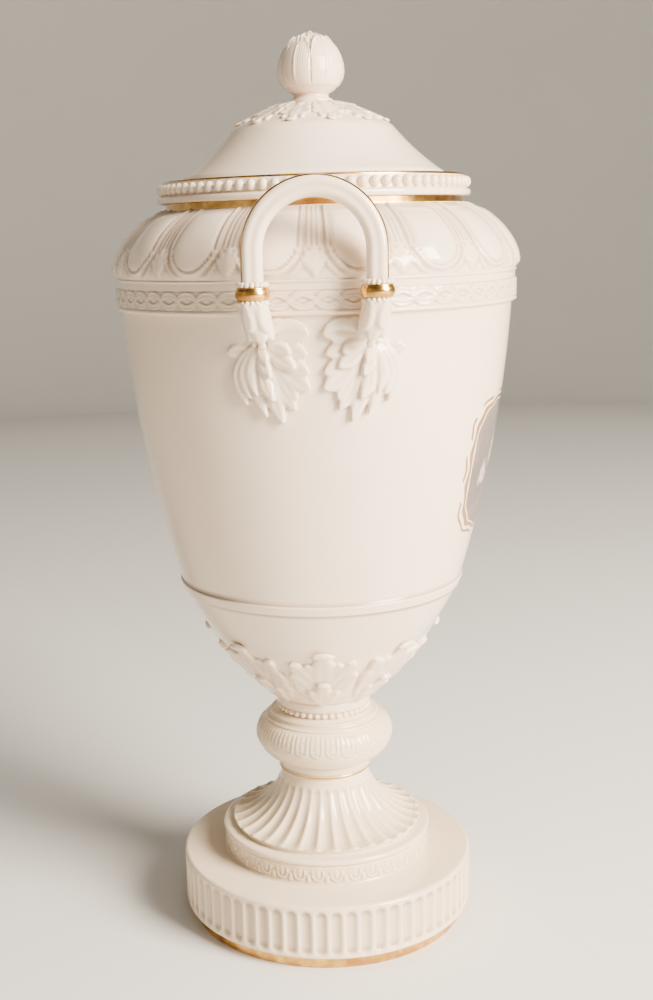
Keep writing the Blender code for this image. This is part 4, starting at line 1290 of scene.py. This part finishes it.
def arch(name, facing):
    turn = np.linspace(0.0, np.pi, 72)
    low = np.linspace(RING_HEIGHT, SPRING, 16)[:-1]
    y = np.concatenate([np.full(15, -HALF_SPAN), -HALF_SPAN * np.cos(turn), np.full(15, HALF_SPAN)])
    z = np.concatenate([low, SPRING + HALF_SPAN * np.sin(turn), low[::-1]])
    path = np.stack([np.full_like(y, facing * HANDLE_X), y, z], axis=1)
    outward = np.concatenate([np.tile((0, -1, 0), (15, 1)),
                              np.stack([0 * turn, -np.cos(turn), np.sin(turn)], axis=1),
                              np.tile((0, 1, 0), (15, 1))])
    sides = 48
    ring = swept(path, outward, sides, arch_section)
    rows = len(path)
    caps = end_caps(rows, sides)
    skin = np.vstack([grid_faces(rows, sides, wrap_rows=False), caps])[:, ::-1]
    thing = mesh_object(name, ring.reshape(-1, 3), skin)
    gilt = np.zeros((rows, sides))
    gilt[:, :6] = 1.0
    gilt[:, -5:] = 1.0
    set_numbers(thing, "gilt", gilt.ravel())
    return thing


for facing, tag in ((-1, "left"), (1, "right")):
    thing = finish_piece(arch(f"handle_{tag}_arch", facing), handle_glaze)
    print(thing.name, triangles(thing), "triangles")

# %% The gilt rings and their bead collars
def leg_places():
    return [(facing * HANDLE_X, side * HALF_SPAN) for facing in (-1, 1) for side in (-1, 1)]


def ring_shape():
    """A fat gilt ring between two thin lips, as one turned shell."""
    return turned("ring", runs(
        (0.0060, 0.0034),
        ((0.0079, 0.0034), 0.0, 0.0008),
        ((0.0084, 0.0027), 0.0002, 0.0003),
        ((0.0084, -0.0027), 0.0008, 0.0004),
        ((0.0079, -0.0034), 0.0002, 0.0003),
        ((0.0060, -0.0034), 0.0, 0.0008),
        ((0.0060, 0.0034), 0.0, 0.003),
    ), 48, gold)


def at_each_leg(name, unit, heights, material):
    """Copies a shape made round the axis to the four legs, at the given heights."""
    copies = []
    for x, y in leg_places():
        for height in heights:
            copy = unit.copy()
            copy.data = unit.data.copy()
            copy.parent = None
            bpy.context.scene.collection.objects.link(copy)
            copy.data.transform(Matrix.Translation((x, y, height)))
            copies.append(copy)
    bpy.data.objects.remove(unit)
    return merged(name, copies, material)


rings = at_each_leg("handle_rings", ring_shape(), [RING_HEIGHT], gold)
collar_beads = bead_row("collar", 18, 0.0074, (0.00145, 0.00150, 0.00155), 0.0, handle_glaze)
COLLAR_HEIGHTS = [RING_HEIGHT + 0.0046, RING_HEIGHT - 0.0048]
handle_beads = at_each_leg("handle_beads", collar_beads, COLLAR_HEIGHTS, handle_glaze)
print("rings:", triangles(rings), "bead collars:", triangles(handle_beads), "triangles")

# %% [markdown]
# ## The handle leaves
#
# The leaf is drawn in its own metres: sideways away from the other leg, and down the wall. Its
# lobes lie in three groups: long ribs that bend round the outer side, feathers down the spine to the
# lowest tip, and broader cupped lobes toward the middle. The husk is a tube of folded lips.

# %% Lobes of a handle leaf
ROOT_SPAN, ROOT_HEIGHT, LEAF_WALL_RADIUS = 0.0287, 0.3868, 0.1180
FAN_EDGE = [
    (0.0200, 0.0045), (0.0160, 0.0080), (0.0168, 0.0150), (0.0160, 0.0220), (0.0130, 0.0285),
    (0.0070, 0.0335), (0.0010, 0.0375), (-0.0020, 0.0390), (-0.0060, 0.0380), (-0.0098, 0.0420),
    (-0.0130, 0.0370), (-0.0160, 0.0345), (-0.0165, 0.0300), (-0.0180, 0.0265), (-0.0240, 0.0245),
    (-0.0240, 0.0170), (-0.0225, 0.0120), (-0.0232, 0.0060), (-0.0215, 0.0015), (-0.0250, -0.0050),
    (-0.0215, -0.0085), (-0.0150, -0.0105), (-0.0095, -0.0125), (-0.0030, -0.0090), (0.0060, -0.0060),
    (0.0110, 0.0000)]
FAN = [
    # long ribs that follow the outer edge
    ((0.009, 0.003), (0.014, 0.0035), (0.0208, 0.0046), 0.0080, 0.0006, 0.0008, 0.0014),
    ((0.004, 0.001), (0.023, 0.014), (0.0095, 0.0335), 0.0075, 0.0014, 0.0012, 0.0010),
    ((0.003, 0.002), (0.017, 0.014), (0.0075, 0.0295), 0.0062, 0.0020, 0.0011, 0.0014),
    ((0.002, 0.003), (0.011, 0.014), (0.0035, 0.0275), 0.0058, 0.0026, 0.0011, 0.0016),
    ((0.001, 0.004), (0.010, 0.022), (-0.0015, 0.0400), 0.0075, 0.0018, 0.0012, 0.0012),
    # the spine and its stacked lips
    ((-0.002, 0.004), (-0.002, 0.024), (-0.0102, 0.0436), 0.0105, 0.0016, 0.0010, 0.0014, 0.0008),
    ((0.000, 0.012), (0.001, 0.022), (-0.0058, 0.0305), 0.0078, 0.0030, 0.0010, 0.0024),
    ((0.000, 0.004), (0.001, 0.011), (-0.0050, 0.0175), 0.0070, 0.0032, 0.0010, 0.0024),
    ((0.000, 0.000), (0.001, 0.004), (-0.0035, 0.0105), 0.0058, 0.0036, 0.0008, 0.0018),
    # lobes beside the tip
    ((-0.006, 0.014), (-0.009, 0.026), (-0.0175, 0.0362), 0.0090, 0.0012, 0.0010, 0.0014),
    ((-0.008, 0.014), (-0.012, 0.024), (-0.0185, 0.0300), 0.0085, 0.0012, 0.0009, 0.0014),
    # broad cupped lobes toward the middle of the vase
    ((-0.004, 0.006), (-0.014, 0.018), (-0.0258, 0.0250), 0.0130, 0.0014, 0.0008, 0.0014),
    ((-0.004, 0.004), (-0.015, 0.012), (-0.0255, 0.0160), 0.0110, 0.0014, 0.0008, 0.0016),
    ((-0.004, 0.004), (-0.011, 0.009), (-0.0178, 0.0128), 0.0085, 0.0028, 0.0009, 0.0020),
    ((-0.003, 0.002), (-0.014, 0.002), (-0.0245, 0.0060), 0.0110, 0.0014, 0.0008, 0.0016),
    ((-0.003, 0.001), (-0.010, 0.001), (-0.0155, 0.0052), 0.0080, 0.0030, 0.0009, 0.0020),
    ((-0.002, -0.001), (-0.013, -0.010), (-0.0258, -0.0045), 0.0150, 0.0020, 0.0008, 0.0018, 0.0009),
    ((0.000, -0.003), (-0.006, -0.010), (-0.0125, -0.0122), 0.0095, 0.0012, 0.0008, 0.0012),
]
HUSK = [
    # folded lips: turn round the leg in degrees, length, width, level, how far the tip curls out
    (0, 0.0240, 0.0098, 0.0006, 0.0020),
    (60, 0.0225, 0.0098, 0.0002, 0.0016), (-60, 0.0225, 0.0098, 0.0002, 0.0016),
    (120, 0.0200, 0.0098, 0.0002, 0.0010), (-120, 0.0200, 0.0098, 0.0002, 0.0010),
    (180, 0.0180, 0.0098, 0.0, 0.0004),
    (30, 0.0170, 0.0070, 0.0012, 0.0018), (-30, 0.0170, 0.0070, 0.0012, 0.0018)]
ROOT_ANGLE = math.asin(ROOT_SPAN / LEAF_WALL_RADIUS)
print("a handle leaf has", len(FAN), "lobes and", len(HUSK), "folded lips")


# %% The cushion under the lobes, and where they lie
def plate(place, edge, level, dome_height, rings=10):
    """A low cushion with the given outline, which fills the leaf between its lobes."""
    edge = np.array(edge)
    corners = np.arange(len(edge) + 1)
    fine = np.linspace(0, len(edge), 4 * len(edge), endpoint=False)
    edge = np.stack([np.interp(fine, corners, np.append(edge[:, k], edge[0, k])) for k in (0, 1)], 1)
    middle = edge.mean(axis=0)
    share = np.linspace(1.0, 0.003, rings)[:, None]
    flat = middle + (edge - middle)[None] * share[:, :, None]
    top = level + dome_height * (1 - share ** 2) + 0 * flat[..., 0]
    upper = place(flat[..., 0], flat[..., 1], top)
    lower = place(flat[..., 0], flat[..., 1], np.full_like(top, -LEAF_DEPTH))[::-1]
    return np.concatenate([upper, lower]).reshape(-1, 3), grid_faces(2 * rings, len(edge))


def on_wall(facing, side):
    """Lays a leaf's own metres on the wall beside a leg."""
    line = WALL[::-1]

    def place(sideways, down, outward):
        height = ROOT_HEIGHT - down
        radius = np.interp(height, line[:, 1], line[:, 0]) + outward
        angle = ROOT_ANGLE + sideways / LEAF_WALL_RADIUS
        return np.stack([facing * radius * np.cos(angle), side * radius * np.sin(angle), height], axis=-1)

    return place


def on_husk(facing, side, lean):
    """Lays a lip's own metres on the leg's tapering core, which runs from the ring to the wall."""
    top = np.array((HANDLE_X, HALF_SPAN, RING_HEIGHT - 0.0045))
    foot = np.array((0.1205, 0.0282, ROOT_HEIGHT - 0.0010))

    def place(sideways, down, outward):
        share = down / np.linalg.norm(top - foot)
        core = top + np.clip(share, 0.0, 1.3)[..., None] * (foot - top)
        core[..., 0] += 0.0016 * np.sin(np.pi * np.clip(share, 0.0, 1.0))
        thick = 0.0016 + 0.0056 * np.sqrt(np.clip(1.0 - np.clip(share - 0.12, 0.0, 1.0) ** 1.7, 0.0, 1.0))
        angle = math.radians(lean) + sideways / 0.0075
        reach = thick + outward
        core[..., 0] += reach * np.cos(angle)
        core[..., 1] += reach * np.sin(angle)
        return core * np.array((facing, side, 1.0))

    return place


print("a leaf's root lies", round(math.degrees(ROOT_ANGLE), 1), "degrees beside the handle's middle")


# %% The four handle leaves
def flipped(shape, facing, side):
    """Turns a mirrored shape's faces outward again."""
    points, faces = shape
    return (points, faces[:, ::-1]) if facing * side > 0 else (points, faces)


def handle_leaf(facing, side):
    wall_place = on_wall(facing, side)
    shapes = [lobe(wall_place, *sizes, blunt=0.85) for sizes in FAN]
    shapes.append(plate(wall_place, FAN_EDGE, 0.0002, 0.0008))
    for lean, length, width, level, curl in HUSK:
        shapes.append(lobe(on_husk(facing, side, lean), (0.0, 0.0), (0.0, 0.5 * length), (0.0, length),
                           width, level, 0.0010, curl))
    shapes.append(rolled_tip(on_husk(facing, side, 0), (0.0, 0.0262, 0.0018), 0.0062, 0.0044, 0.0036))
    return [flipped(shape, facing, side) for shape in shapes]


for facing, tag in ((-1, "left"), (1, "right")):
    pair = [leaf_object(f"leaf_{tag}_{side}", handle_leaf(facing, side), 0.00078) for side in (-1, 1)]
    leaves = merged(f"handle_{tag}_leaves", pair, handle_glaze)
    print(leaves.name, triangles(leaves), "triangles")

# %% [markdown]
# ## The floor
#
# A plain pale floor. Far behind the vase it bends up into a wall all round, so no horizon line
# crosses the picture. It isn't part of the vase.

# %% Floor
def pale_floor():
    finish = Finish("pale_floor")
    _, point = finish.place()
    soft = finish.cloud(point, 3.0, 2.0)
    finish.show({"Base Color": finish.blend(soft, (0.74, 0.73, 0.70, 1.0), (0.78, 0.77, 0.74, 1.0)),
                 "Roughness": 0.75})
    sweep = np.vstack([bowed((0.0001, 0.0), (2.6, 0.0), 0.0, 0.4),
                       bowed((2.6, 0.0), (5.0, 2.4), -0.98, 0.2)[1:]])
    columns = 96
    turn = 2 * np.pi * np.arange(columns) / columns
    radius, height = sweep[:, :1], sweep[:, 1:]
    points = np.stack([radius * np.cos(turn), radius * np.sin(turn), height + 0 * turn], axis=-1)
    sheet = mesh_object("floor", points.reshape(-1, 3), grid_faces(len(sweep), columns, wrap_rows=False))
    sheet.data.materials.append(finish.material)
    return sheet


floor_sheet = pale_floor()
print("floor is", round(floor_sheet.dimensions.x, 1), "m wide")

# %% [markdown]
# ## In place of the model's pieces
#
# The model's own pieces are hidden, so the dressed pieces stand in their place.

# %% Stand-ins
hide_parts("body")
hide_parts("lid")
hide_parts("pedestal")
